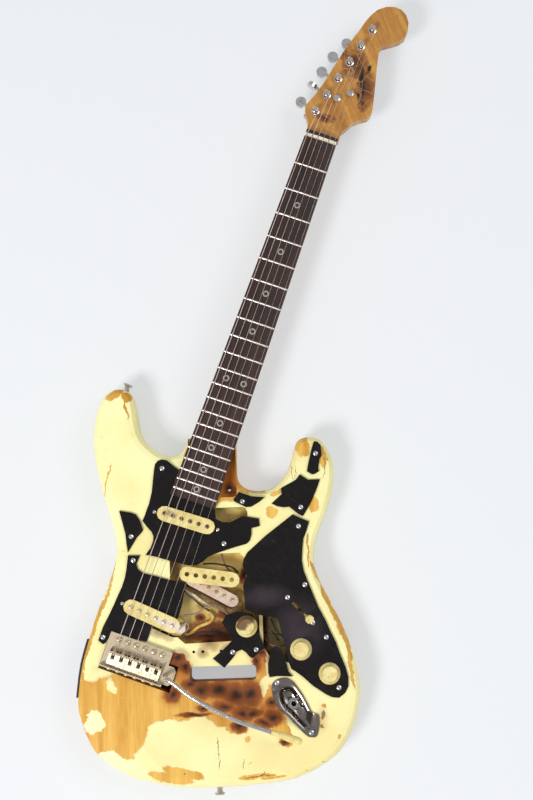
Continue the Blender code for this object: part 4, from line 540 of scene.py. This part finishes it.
def cover_finish():
    """Pickup covers: one rubbed grey-brown, one with a painted glare along its middle and treble end."""
    look = Finish("aged_pickup_cover", srgb(242, 224, 152), 0.36)
    place = look.warped(9, 2.5)
    age = look.patches(16, 4.0, 0.6, 0.35, 0.7)
    colour = look.mix(age, srgb(244, 226, 154), srgb(228, 204, 128))
    # Painted glare: the bridge pickup's cover is made pale lavender along its middle and treble end, as
    # a highlight.
    pale = look.step(look.spots(((-56, -179, 22, 5, -21), (-40, -186, 10, 7)), place), 0.0, 0.5)
    colour = look.mix(look.times(pale, 0.7), colour, srgb(226, 214, 222))
    rubbed = look.step(look.spots(((-50, -53, 11, 5, -24),), place), 0.0, 0.6)
    colour = look.mix(look.times(rubbed, 0.7), colour, srgb(150, 128, 96))
    grime = look.patches(4, 6.0, 0.7, 0.52, 0.74)
    colour = look.mix(look.times(grime, 0.5), colour, srgb(160, 124, 58))
    look.set(Base_Color=colour, Roughness=look.blend(grime, 0.34, 0.6))
    look.bump(look.noise(1.0, 4.0, 0.7), 0.02, 0.4)
    return look.material


def knob_finish():
    """Aged knobs. The volume knob's upper half is burnt brown."""
    look = Finish("aged_knob", srgb(232, 212, 140), 0.38)
    place = look.warped(8, 2.0)
    age = look.patches(12, 4.0, 0.6, 0.35, 0.7)
    colour = look.mix(age, srgb(240, 224, 158), srgb(222, 196, 120))
    burn = look.step(look.spots(((34, -175, 16, 11), (30, -184, 9, 7)), place), 0.0, 0.4)
    colour = look.mix(look.times(burn, 0.9), colour, srgb(92, 52, 16))
    grime = look.patches(3, 6.0, 0.7, 0.55, 0.75)
    colour = look.mix(look.times(grime, 0.5), colour, srgb(150, 116, 52))
    look.set(Base_Color=colour, Roughness=look.blend(burn, 0.36, 0.6))
    look.bump(look.noise(1.5, 4.0, 0.6), 0.03, 0.4)
    return look.material


def guard_finish():
    """Black ply, scuffed and dusty, with a paler ply showing in its broken edges and a painted glare on
    its gloss.
    """
    look = Finish("scuffed_black_guard", srgb(15, 8, 8), 0.3)
    dust = look.patches(20, 6.0, 0.7, 0.45, 0.80)
    # Painted glare: two soft purplish patches stand in for light reflected off the glossy guard.
    painted_glare = look.spots(((58, -152, 40, 18), (96, -190, 40, 46)), look.warped(14, 5))
    colour = look.mix(look.times(dust, 0.4), srgb(14, 7, 7), srgb(38, 22, 20))
    colour = look.mix(look.times(look.step(painted_glare, 0.0, 0.9), 0.35), colour, srgb(86, 74, 84))
    scratch = look.step(look.noise(1.0, 3.0, 0.5, look.stretch((1.0, 0.04, 1.0), None, 0.9)),
                        0.66, 0.72)
    colour = look.mix(look.times(scratch, 0.22), colour, srgb(96, 84, 80))
    edge = look.fall(look.maths("ABSOLUTE", look.facing("Z")), 0.3, 0.6)
    colour = look.mix(look.times(edge, 0.6), colour, srgb(54, 40, 36))
    look.set(Base_Color=colour, Roughness=look.blend(dust, 0.26, 0.45), Specular_IOR_Level=0.3)
    look.bump(look.maths("ADD", scratch, look.noise(3, 4.0, 0.6)), 0.02, 0.3)
    return look.material


def rubber_finish():
    look = Finish("black_tape", srgb(22, 20, 20), 0.6)
    folds = look.noise(6, 4.0, 0.6, look.stretch((1, 1, 0.3)))
    look.set(Base_Color=look.mix(folds, srgb(16, 14, 14), srgb(50, 44, 42)))
    look.bump(folds, 0.3, 0.6)
    return look.material


def plain_finish(name, light, dark, roughness=0.5, size=3.0, relief=0.03):
    """A material with a little mottling and relief, for small pieces."""
    look = Finish(name, light, roughness)
    mottle = look.noise(size, 4.0, 0.6)
    look.set(Base_Color=look.mix(look.step(mottle, 0.35, 0.7), light, dark),
             Roughness=look.blend(mottle, roughness - 0.08, roughness + 0.12))
    look.bump(mottle, relief, 0.5)
    return look.material


BODY_PAINT = body_finish()
MAPLE = maple_finish()
BOARD = board_finish()
STRING = string_finish()
CHROME = metal_finish("worn_chrome", srgb(226, 222, 220), srgb(176, 166, 158), 0.10,
                      srgb(70, 52, 40), 0.6)
# Painted reflection: the jack plate's chrome is made dark, standing in for dark surroundings mirrored in
# it; its dull and stained patches are wear.
DARKENED_PLATE_CHROME = metal_finish("worn_plate_chrome_painted_reflection", srgb(150, 142, 136), srgb(92, 82, 76), 0.16,
                     srgb(44, 30, 22), 0.6, 9.0)
NICKEL = metal_finish("worn_nickel", srgb(216, 198, 168), srgb(180, 160, 132), 0.38,
                      srgb(70, 50, 34), 0.75, 4.0)
# Painted shade: the neck pickup's poles are made dark, standing in for the shadow of poles sunk in their
# holes; the stains and pits on them are wear.
SHADED_POLE_METAL = metal_finish("pole_steel_painted_shade", srgb(104, 88, 76), srgb(66, 52, 44), 0.4,
                         srgb(40, 26, 18), 0.6, 3.0)
FRET_METAL = metal_finish("fret_metal", srgb(250, 236, 228), srgb(234, 214, 204), 0.34,
                          srgb(120, 92, 80), 0.3, 4.0)
AGED = plastic_finish("aged_cream_plastic", srgb(242, 224, 152), srgb(224, 200, 124),
                      srgb(160, 124, 58))
COVER = cover_finish()
WHITE = plastic_finish("off_white_plastic", srgb(236, 218, 206), srgb(220, 196, 178),
                       srgb(150, 116, 84))
BONE = plastic_finish("bone", srgb(238, 230, 208), srgb(226, 210, 176), srgb(150, 126, 90))
KNOB = knob_finish()
GUARD = guard_finish()
RUBBER = rubber_finish()
CABLE = plain_finish("yellow_cable", srgb(232, 198, 110), srgb(190, 140, 60), 0.42, 5.0)
BLACK_WIRE = plain_finish("black_wire", srgb(34, 26, 24), srgb(18, 12, 10), 0.4)
BROWN_WIRE = plain_finish("brown_wire", srgb(128, 84, 84), srgb(84, 50, 46), 0.45)
GREY_WIRE = plain_finish("grey_wire", srgb(168, 142, 128), srgb(128, 98, 84), 0.45)
WHITE_WIRE = plain_finish("white_wire", srgb(232, 222, 188), srgb(200, 180, 130), 0.5)
FIBRE = plain_finish("fibre_board", srgb(176, 144, 92), srgb(128, 96, 58), 0.7, 2.0, 0.08)
COIL = plain_finish("wound_coil", srgb(88, 50, 34), srgb(52, 30, 22), 0.45, 1.0, 0.1)
DARK = plain_finish("dark_recess", srgb(16, 12, 12), srgb(28, 20, 18), 0.6)


def paint_nodes():
    """Gives every CAD node its material."""
    names = {
        "body": BODY_PAINT, "neck": MAPLE, "nut": BONE, "tuner_gearboxes": CHROME,
        "neck_plate": CHROME, "back_cover": GUARD, "spring_claw": STRING, "bridge_plate": NICKEL,
        "vibrato_block": NICKEL, "vibrato_arm": CHROME, "arm_tip": AGED, "neck_pickup": COVER,
        "bridge_pickup": COVER, "middle_pickup": WHITE, "loose_pickup_cover": AGED,
        "selector_lever": AGED, "jack_plate": CHROME, "side_strip": RUBBER, "cavity_cable": CABLE,
    }
    groups = {"string_tree": CHROME, "string": STRING, "guard": GUARD, "saddle": NICKEL,
              "tuner": CHROME, "strap": CHROME}
    for name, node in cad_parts.items():
        material = names.get(name)
        if material is None:
            material = next((m for start, m in groups.items() if name.startswith(start)), KNOB)
        node.data.materials.clear()
        node.data.materials.append(material)


# Pieces


def linked(name, data):
    """A new object in the scene."""
    obj = bpy.data.objects.new(name, data)
    bpy.context.scene.collection.objects.link(obj)
    return obj


def skin(work, rings):
    """Joins each ring of points to the next by faces. A ring may be one point."""
    for a, b in zip(rings, rings[1:]):
        count = max(len(a), len(b))
        for i in range(count):
            j = (i + 1) % count
            corners = (a[i % len(a)], a[j % len(a)], b[j % len(b)], b[i % len(b)])
            work.faces.new(list(dict.fromkeys(corners)))


def add_mesh(name, work, material, body, matrix=None, sharp=40):
    """A piece from bmesh work, placed and riding on a body."""
    mesh = bpy.data.meshes.new(name)
    bmesh.ops.recalc_face_normals(work, faces=work.faces)
    work.to_mesh(mesh)
    work.free()
    mesh.shade_smooth()
    mesh.set_sharp_from_angle(angle=math.radians(sharp))
    obj = linked(name, mesh)
    if matrix is not None:
        obj.matrix_world = matrix
    mesh.materials.append(material)
    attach(obj, body)
    return obj


def turned(work, profile, place, steps=24, matrix=None):
    """Adds a closed turned shape about an upright axis, from points (radius, height).

    A third value of a point is the depth of grooves round its ring, one in three steps.
    """
    rings = []
    for radius, height, *groove in profile:
        ring = []
        for i in range(steps if radius else 1):
            out = radius - (groove[0] if groove and i % 3 == 0 else 0)
            angle = 2 * math.pi * i / steps
            ring.append(work.verts.new((place[0] + out * math.cos(angle),
                                        place[1] + out * math.sin(angle), place[2] + height)))
        rings.append(ring)
    skin(work, rings)
    if matrix is not None:
        bmesh.ops.transform(work, matrix=matrix, verts=[v for ring in rings for v in ring])


def screw(work, place, radius=0.0028, rise=0.0013, turn=0.0, matrix=None):
    """A domed screw head with a cross recess, its rim resting at the place."""
    steps = 20
    ring = [work.verts.new((radius * math.cos(2 * math.pi * i / steps),
                            radius * math.sin(2 * math.pi * i / steps), 0)) for i in range(steps)]
    shoulder = [work.verts.new((v.co.x * 0.96, v.co.y * 0.96, rise * 0.5)) for v in ring]
    dome = [work.verts.new((v.co.x * 0.66, v.co.y * 0.66, rise * 0.93)) for v in ring]
    half = radius * 0.13
    reach = radius * 0.55
    corners = ((half, half), (half, reach), (-half, reach), (-half, half), (-reach, half),
               (-reach, -half), (-half, -half), (-half, -reach), (half, -reach), (half, -half),
               (reach, -half), (reach, half))
    cross = [work.verts.new((x, y, rise)) for x, y in corners]
    floor = [work.verts.new((x * 0.8, y * 0.8, rise * 0.35)) for x, y in corners]
    skin(work, (ring, shoulder, dome))
    skin(work, (cross, floor))
    work.faces.new(floor)
    edges = [work.edges.get(pair) for pair in zip(dome, dome[1:] + dome[:1])]
    edges += [work.edges.get(pair) for pair in zip(cross, cross[1:] + cross[:1])]
    bmesh.ops.triangle_fill(work, use_beauty=True, edges=edges)
    bottom = work.verts.new((0, 0, -0.0004))
    skin(work, ([bottom], ring))
    verts = ring + shoulder + dome + cross + floor + [bottom]
    move = Matrix.Translation(place) @ Matrix.Rotation(turn, 4, "Z")
    if matrix is not None:
        move = matrix @ move
    bmesh.ops.transform(work, matrix=move, verts=verts)


def stadium(length, width, steps=10):
    radius = width / 2
    reach = length / 2 - radius
    loop = []
    for side in (1, -1):
        for step in range(steps + 1):
            angle = math.pi * (step / steps - 0.5)
            loop.append((side * (reach + radius * math.cos(angle)), side * radius * math.sin(angle)))
    return loop


def block(work, loop, low, high, bevel=0.0004):
    """A flat piece from an outline, with its top and bottom edges eased."""
    middle = Vector((sum(x for x, _ in loop) / len(loop), sum(y for _, y in loop) / len(loop)))
    rows = []
    for inset, height in ((bevel, low), (0, low + bevel), (0, high - bevel), (bevel, high)):
        row = []
        for x, y in loop:
            out = Vector((x, y)) - middle
            share = 1 - inset / max(out.length, 1e-6)
            row.append(work.verts.new((middle.x + out.x * share, middle.y + out.y * share, height)))
        rows.append(row)
    skin(work, rows)
    work.faces.new(rows[0][::-1])
    work.faces.new(rows[-1])


def wire(name, points, radius, material):
    """A loose wire through points in millimetres."""
    curve = bpy.data.curves.new(name, "CURVE")
    curve.dimensions = "3D"
    curve.bevel_depth = radius
    curve.bevel_resolution = 4 if radius > 0.0015 else 2
    curve.use_fill_caps = True
    run = smooth([Vector(mm(*point)) for point in points], 5)
    spline = curve.splines.new("POLY")
    spline.points.add(len(run) - 1)
    for point, place in zip(spline.points, run):
        point.co = (*place, 1)
    obj = linked(name, curve)
    curve.materials.append(material)
    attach(obj, "guitar")
    return obj


def smooth(points, steps):
    """Points along a smooth curve through the given ones."""
    padded = [points[0], *points, points[-1]]
    run = []
    for a, b, c, d in zip(padded, padded[1:], padded[2:], padded[3:]):
        for step in range(steps):
            t = step / steps
            run.append(0.5 * (2 * b + (c - a) * t + (2 * a - 5 * b + 4 * c - d) * t ** 2
                              + (3 * b - a - 3 * c + d) * t ** 3))
    run.append(points[-1])
    return run


def neck_width(y):
    share = (SCALE_LENGTH - y) / (SCALE_LENGTH - BOARD_ENDS[0])
    return NUT_WIDTH + (NECK_END_WIDTH - NUT_WIDTH) * share


def camber(x):
    return x ** 2 / (2 * BOARD_RADIUS)


def make_fretboard():
    """The cambered board and its rounded frets, each fret a bar of crowned section."""
    work = bmesh.new()
    across = 16
    slot = (SCALE_LENGTH - 0.0003, SCALE_LENGTH + 0.0036)
    for low_y, high_y in ((BOARD_ENDS[0], slot[0]), (slot[1], BOARD_ENDS[1])):
        rows = []
        count = 24 if low_y == BOARD_ENDS[0] else 2
        for step in range(count + 1):
            y = low_y + (high_y - low_y) * step / count
            half = neck_width(min(y, SCALE_LENGTH)) / 2
            row = [(half * (1 - 2 * i / across), y) for i in range(across + 1)]
            top = [work.verts.new((x, y, BOARD_TOP_Z - camber(x))) for x, y in row]
            low = [work.verts.new((-half, y, BOARD_LOW_Z)), work.verts.new((half, y, BOARD_LOW_Z))]
            rows.append(top + low)
        skin(work, rows)
        work.faces.new(rows[0][::-1])
        work.faces.new(rows[-1])
    board = add_mesh("rosewood_board", work, BOARD, "guitar", NECK)
    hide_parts("fretboard")

    work = bmesh.new()
    for index in range(FRET_COUNT):
        y = SCALE_LENGTH / 2 ** ((index + 1) / 12)
        half = neck_width(y) / 2 - 0.0002
        rows = []
        for step in range(across + 1):
            x = half * (1 - 2 * step / across)
            ease = 0.0007 if step in (0, across) else 0.0
            row = []
            for corner in range(7):
                angle = math.pi * corner / 6
                row.append(work.verts.new((
                    x - math.copysign(ease, x) * math.sin(angle), y + 0.0012 * math.cos(angle),
                    BOARD_TOP_Z - camber(x) + FRET_HEIGHT * math.sin(angle) - 0.00005,
                )))
            rows.append(row)
        skin(work, rows)
        work.faces.new(rows[0])
        work.faces.new(rows[-1][::-1])
    frets = add_mesh("frets", work, FRET_METAL, "guitar", NECK)


def make_screws():
    """The pickguard's own screws, the jack plate's and the pickups' height screws."""
    random.seed(7)
    work = bmesh.new()
    guard_screws = (
        (-58.5, 0), (11.7, -90), (-96, -78.5), (-94, -106), (-130, -192.5), (99, -72.5),
        (104, -140), (126.5, -200.5), (138.8, -257.5), (34.5, -41.8), (102.5, -50.5), (18.3, -214),
        (45.5, -212), (83.5, -154), (111.5, -183.5), (122, 12),
    )
    for place in guard_screws:
        screw(work, (*mm(*place), GUARD_TOP), 0.0029, 0.0013, random.uniform(0, 1.5))
    for place in ((-68.3, -50.8), (4.8, -73.7), (-107.5, -155)):
        screw(work, (*mm(*place), GUARD_TOP), 0.0024, 0.0016, random.uniform(0, 1.5))
    for place in ((68, -250), (105.5, -306.5)):
        screw(work, (*mm(*place), FACE_Z + 0.0017), 0.0030, 0.0013, random.uniform(0, 1.5))
    screws = add_mesh("guard_screws", work, CHROME, "guitar")
    work = bmesh.new()
    for x in (-0.0262, -0.0157, -0.0052, 0.0052, 0.0157, 0.0262):
        screw(work, (x, 0.0071, PLATE_TOP), 0.0034, 0.0018, random.uniform(0, 1.5), matrix=NECK)
    pivots = add_mesh("bridge_screws", work, NICKEL, "guitar")


def make_poles():
    """Steel pole pieces in the two mounted pickups, standing through their covers."""
    for name, y, slant in (("neck", 0.1606, 2.0), ("bridge", 0.0439, -4.5)):
        work = bmesh.new()
        matrix = Matrix.Translation((0, y, 0)) @ Matrix.Rotation(math.radians(slant), 4, "Z")
        for index in range(6):
            x = (index - 2.5) * POLE_PITCH
            low = PICKUP_TOP - 0.0002
            turned(work, ((0, 0.00125), (0.0020, 0.00125), (0.0025, 0.0009), (0.0025, 0)),
                   (x, 0, low), 20, matrix)
        # The neck pickup's poles get the metal with painted shade.
        material = SHADED_POLE_METAL if name == "neck" else NICKEL
        poles = add_mesh(f"{name}_pickup_poles", work, material, "guitar", NECK)


def make_loose_pickup():
    """The middle pickup out of its cover: fibre base, wound coil, top plate and poles."""
    matrix = Matrix.Translation(mm(-3.5, -142.5, 0)) @ Matrix.Rotation(math.radians(-29.3), 4, "Z")
    lean = math.radians(24.0)
    tilt = Matrix.Rotation(-lean, 4, "X")
    height = (CAVITY_FLOOR_Z + (COIL_DEPTH + BASE_THICKNESS) * math.cos(lean)
              + BASE_HALF_WIDTH * math.sin(lean) + 0.0004)
    place = Matrix.Translation((0, 0, height)) @ matrix @ tilt
    pieces = (
        ("bobbin_top", WHITE, stadium(0.0676, 0.0151), -0.0024, 0.0),
        ("coil", COIL, stadium(0.0652, 0.0127), -COIL_DEPTH - 0.0002, -0.0023),
        ("fibre_base", FIBRE, stadium(0.083, 2 * BASE_HALF_WIDTH),
         -COIL_DEPTH - BASE_THICKNESS, -COIL_DEPTH),
    )
    for name, material, loop, low, high in pieces:
        work = bmesh.new()
        block(work, loop, low, high, 0.0003)
        piece = add_mesh(f"middle_pickup_{name}", work, material, "guitar", place)
        if name == "bobbin_top":
            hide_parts("middle_pickup")
    work = bmesh.new()
    for index in range(6):
        turned(work, ((0, 0.0009), (0.0020, 0.0009), (0.0024, 0.0006), (0.0024, -0.001)),
               ((index - 2.5) * POLE_PITCH, 0, 0), 20)
    poles = add_mesh("middle_pickup_poles", work, NICKEL, "guitar", place)


def make_knobs():
    """Bell knobs with a ribbed barrel, a skirt and a dished top."""
    places = {"volume_knob": ("volume", 35.3, -185.4), "tone_knob_1": ("tone_1", 96.9, -213.2),
              "tone_knob_2": ("tone_2", 128.6, -241.4)}
    groove = 0.0003
    profile = (
        (0, 0.0112), (0.0060, 0.0113), (0.0078, 0.0119), (0.0085, 0.0117),
        (0.0089, 0.0110, groove), (0.0092, 0.0060, groove), (0.0095, 0.0048), (0.0108, 0.0036),
        (0.0121, 0.0020), (0.0125, 0.0010), (0.0124, 0), (0.0034, 0), (0.0034, 0.0089), (0, 0.0089),
    )
    for name, (body, x, y) in places.items():
        work = bmesh.new()
        place = Matrix.Translation((*mm(x, y), GUARD_TOP + 0.0006))
        turned(work, profile, (0, 0, 0), 72, place)
        knob = add_mesh(f"{body}_dial", work, KNOB, body, sharp=50)
        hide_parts(name)


def make_strings():
    """The strings, whose one end sits in the bridge, copied from the CAD model with their placing baked
    in.
    """
    for number in range(1, 7):
        name = f"string_{number}"
        obj = linked(f"tuned_{name}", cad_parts[name].data.copy())
        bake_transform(obj)
        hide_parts(name)


def make_bridge_parts():
    """Saddle height screws, and intonation screws."""
    dark = bmesh.new()
    steel = bmesh.new()
    for index, radius in enumerate(STRING_RADII):
        x = (index - 2.5) * BRIDGE_PITCH
        top = SADDLE_STRING_Z - camber(x) - radius
        for side in (-0.0034, 0.0034):
            turned(dark, ((0, 0.0006), (0.0009, 0.0006), (0.0009, 0.0012), (0.0014, 0.0012),
                          (0.0014, -0.001)), (x + side, -0.0062, top - 0.0004), 12)
        along = Matrix.Translation((x, -0.0254, PLATE_TOP + 0.0042)) @ Matrix.Rotation(
            math.pi / 2, 4, "X")
        turned(steel, ((0, 0.0032), (0.0018, 0.0030), (0.0026, 0.0020), (0.0026, 0.0004),
                       (0.0013, 0.0002), (0.0013, -0.0012)), (0, 0, 0), 16, along)
    heights = add_mesh("saddle_height_screws", dark, DARK, "vibrato", NECK)
    screws = add_mesh("intonation_screws", steel, NICKEL, "vibrato", NECK)


def make_tuner_bushings():
    """Washers round the tuning posts on the headstock's face."""
    work = bmesh.new()
    for index in range(6):
        travel = index * POST_PITCH
        place = (FIRST_POST[0] + travel * math.sin(POST_LEAN),
                 FIRST_POST[1] + travel * math.cos(POST_LEAN), HEAD_Z)
        turned(work, ((0.0037, 0.0004), (0.0037, 0.0010), (0.0040, 0.0012), (0.0052, 0.0009),
                      (0.0056, 0.0003), (0.0056, 0.0), (0.0037, 0.0), (0.0037, 0.0004)),
               place, 24)
    washers = add_mesh("tuner_bushings", work, CHROME, "guitar", NECK)


def make_jack_plate():
    """The pressed socket plate: a smooth rim running down into a boat-shaped cup."""
    edge = ((62.5, -252), (68, -246.5), (78, -245), (85, -248), (90.5, -254.5), (97, -264.5),
            (102.5, -275), (107, -284), (114, -287.5), (115, -294.5), (113.5, -305), (111, -311),
            (105, -311.5), (100, -309.5), (90.5, -300), (80, -288.5), (70.5, -280), (65, -271),
            (62.5, -261))
    closed = [Vector(mm(*point, 0)) for point in edge]
    closed = [*closed[-2:], *closed, *closed[:3]]
    loop = smooth(closed, 6)[12:12 + 6 * len(edge)]
    middle = Vector((0, 0, 0))
    for point in loop:
        middle += point / len(loop)
    low = GUARD_LOW
    top = low + JACK_PLATE_THICKNESS
    low_x, low_y = JACK_PLACE
    rows = (
        (0.97, low, 0.0), (1.0, low, 0.0), (1.0, top - 0.0005, 0.0), (0.985, top, 0.0),
        (0.76, top, 0.0), (0.71, top - 0.0006, 0.0), (0.66, top - 0.0030, 0.15),
        (0.56, top - 0.0072, 0.5), (0.44, top - 0.0102, 0.8), (0.34, top - 0.0109, 1.0),
        (0.12, top - JACK_CUP_DEPTH, 1.0),
    )
    work = bmesh.new()
    rings = []
    for share, height, drawn in rows:
        ring = []
        for point in loop:
            out = point - middle
            x = middle.x + (low_x - middle.x) * drawn + out.x * share
            y = middle.y + (low_y - middle.y) * drawn + out.y * share
            ring.append(work.verts.new((x, y, height)))
        rings.append(ring)
    skin(work, rings)
    plate = add_mesh("socket_plate", work, DARKENED_PLATE_CHROME, "guitar", sharp=50)
    thick = plate.modifiers.new("thickness", "SOLIDIFY")
    thick.thickness = 0.0006
    thick.offset = 0.0
    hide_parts("jack_plate")


def make_arm():
    """The bent arm as one smooth tube."""
    x, y = -59.415, -237.863
    points = ((x, y, 31.3), (x, y, 45), (x, y, 60.2), (x + 0.6, y - 0.4, 65.2), (x + 3.0, y - 2.5, 69.0),
              (-51.8, -243.6, 70.5), (-46.4, -247.5, 71), (-29.9, -260.6, 71.5), (-7.5, -273.8, 72),
              (8.8, -282.1, 72.3), (21.6, -288.4, 72.5), (40.3, -295.3, 72.8), (60, -302.2, 73))
    run = smooth([Vector(mm(*point)) for point in points], 6)
    work = bmesh.new()
    steps = 20
    side = Vector((1, 0, 0))
    rings = []
    for index, place in enumerate(run):
        ahead = run[min(index + 1, len(run) - 1)] - run[max(index - 1, 0)]
        ahead.normalize()
        side = (side - ahead * side.dot(ahead)).normalized()
        other = ahead.cross(side)
        rings.append([
            work.verts.new(place + ARM_RADIUS * (side * math.cos(2 * math.pi * i / steps)
                                                 + other * math.sin(2 * math.pi * i / steps)))
            for i in range(steps)
        ])
    skin(work, rings)
    work.faces.new(rings[0][::-1])
    work.faces.new(rings[-1])
    arm = add_mesh("bent_arm", work, CHROME, "arm", sharp=60)
    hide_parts("vibrato_arm")


def make_jack_nut():
    """The socket's washer, hexagonal nut and threaded collar in the cup."""
    work = bmesh.new()
    x, y = JACK_PLACE
    low = GUARD_LOW + JACK_PLATE_THICKNESS - JACK_CUP_DEPTH
    turned(work, ((0.0034, 0.0012), (0.0066, 0.0012), (0.0070, 0.0008), (0.0070, 0.0),
                  (0.0034, 0.0), (0.0034, 0.0012)), (x, y, low), 28)
    turned(work, ((0.0034, 0.0034), (0.0055, 0.0034), (0.0062, 0.0028), (0.0062, 0.0012),
                  (0.0034, 0.0012), (0.0034, 0.0034)), (x, y, low), 6)
    turned(work, ((0.0034, 0.0052), (0.0043, 0.0052), (0.0046, 0.0049), (0.0046, 0.0034),
                  (0.0034, 0.0034), (0.0034, 0.0052)), (x, y, low), 28)
    nut = add_mesh("jack_nut", work, CHROME, "guitar")


def make_wires():
    """The loose yellow cable, and hook-up wires in the open cavity and round the controls."""
    route = ((-37.5, -192, 29.5), (-33, -193.5, 30), (-27, -189.5, 31), (-20.5, -184.5, 32),
             (-8, -179.5, 31.5), (-4, -174.5, 30.5), (-6, -170, 29.5), (-11, -168, 28.6))
    cable = wire("loose_cable", route, CABLE_RADIUS, CABLE)
    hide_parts("cavity_cable")
    wires = (
        ("wire_black_1", 0.0010, BLACK_WIRE, ((-13.5, -112.5, 44), (-2, -112.5, 45), (8, -114, 44),
         (20.5, -117.5, 41), (27, -124, 36))),
        ("wire_brown_1", 0.0010, BROWN_WIRE, ((8, -98, 40), (9.5, -105, 43), (11.5, -112, 43),
         (15.5, -119, 40), (24, -127, 33))),
        ("wire_grey_1", 0.0009, GREY_WIRE, ((-38, -171, 40), (-21, -168.5, 43), (-10.5, -162, 44),
         (1.5, -163.5, 43.5), (13.5, -170.5, 38))),
        ("wire_black_2", 0.0009, BLACK_WIRE, ((-36.5, -142, 44), (-28, -150, 43), (-15.5, -161, 40),
         (-8, -166, 36))),
        ("wire_white_1", 0.0022, WHITE_WIRE, ((-36, -141, 34), (-33, -144.5, 38), (-25, -148.5, 39),
         (-17, -155, 38), (-9, -160, 32))),
        ("wire_black_3", 0.0010, BLACK_WIRE, ((-36.5, -196.5, 40), (-22, -191, 42), (-9, -190.5, 42),
         (4, -193.5, 38))),
        ("wire_grey_2", 0.0010, GREY_WIRE, ((-43, -178, 36), (-41, -180, 42), (-35, -179, 44),
         (-31.5, -183, 43), (-34, -188, 40), (-39, -191, 33), (-36, -195, 29))),
        ("wire_black_4", 0.0008, BLACK_WIRE, ((55, -178, 38), (60, -186, 41), (66, -194, 41),
         (72, -203, 36))),
        ("wire_black_5", 0.0008, BLACK_WIRE, ((64, -178, 36), (68, -188, 40), (74, -196, 41),
         (80, -204, 36))),
        ("wire_black_6", 0.0008, BLACK_WIRE, ((54, -191, 34), (58, -194, 40), (66, -195, 43),
         (74, -196, 40), (80, -200, 33))),
        ("wire_brown_2", 0.0010, BROWN_WIRE, ((56, -200, 33), (61, -206, 40), (69, -209, 42),
         (77, -208, 40), (83, -203, 33))),
    )
    for name, radius, material, points in wires:
        wire(name, points, radius, material)


def make_stage():
    """A pale floor, part of what the camera sees of it being its own light."""
    floor = bpy.data.meshes.new("floor")
    corners = [(x * FLOOR_REACH, y * FLOOR_REACH, FLOOR_Z)
               for x, y in ((-1, -1), (1, -1), (1, 1), (-1, 1))]
    floor.from_pydata(corners, [], [(0, 1, 2, 3)])
    obj = linked("floor", floor)
    look = Finish("pale_floor", srgb(236, 238, 240), 0.9)
    glow = look.node("Emission")
    glow.inputs["Color"].default_value = srgb(240, 242, 244)
    rays = look.node("LightPath").outputs
    seen = look.maths("MAXIMUM", rays["Is Camera Ray"], rays["Is Glossy Ray"])
    mixed = look.node("MixShader")
    for socket, value in zip(mixed.inputs, (look.times(seen, FLOOR_GLOW),
                                            look.shader.outputs[0], glow.outputs[0])):
        look.put(socket, value)
    look.put(look.tree.nodes["Material Output"].inputs["Surface"], mixed.outputs[0])
    floor.materials.append(look.material)


def make_lights():
    world = bpy.data.worlds.new("studio")
    bpy.context.scene.world = world
    world.use_nodes = True
    world.node_tree.nodes["Background"].inputs["Color"].default_value = (0.94, 0.97, 1.0, 1)
    world.node_tree.nodes["Background"].inputs["Strength"].default_value = WORLD_STRENGTH
    for name, place, energy, size in (KEY_LIGHT, FILL_LIGHT):
        lamp = bpy.data.lights.new(name, "AREA")
        lamp.energy = energy
        lamp.size = size
        obj = linked(name, lamp)
        obj.location = place
        obj.rotation_mode = "QUATERNION"
        obj.rotation_quaternion = (Vector(place) - Vector(LIT_PLACE)).to_track_quat("Z", "Y")


def make_camera():
    """The photograph's view."""
    tip = Matrix.Rotation(-CAMERA_TIP, 3, "X") @ Matrix.Rotation(CAMERA_ROLL, 3, "Z")
    camera = bpy.data.cameras.new("camera")
    camera.sensor_fit = "AUTO"
    camera.sensor_width = SENSOR_WIDTH
    camera.lens = FOCAL_SHARE * SENSOR_WIDTH
    obj = linked("camera", camera)
    obj.matrix_world = Matrix.Translation(CAMERA_PLACE) @ tip.transposed().to_4x4()
    bpy.context.scene.camera = obj


bpy.context.scene.view_settings.view_transform = "Standard"
make_camera()
paint_nodes()
make_fretboard()
make_screws()
make_poles()
make_loose_pickup()
make_knobs()
make_strings()
make_bridge_parts()
make_tuner_bushings()
make_jack_plate()
make_arm()
make_jack_nut()
make_wires()
make_stage()
make_lights()
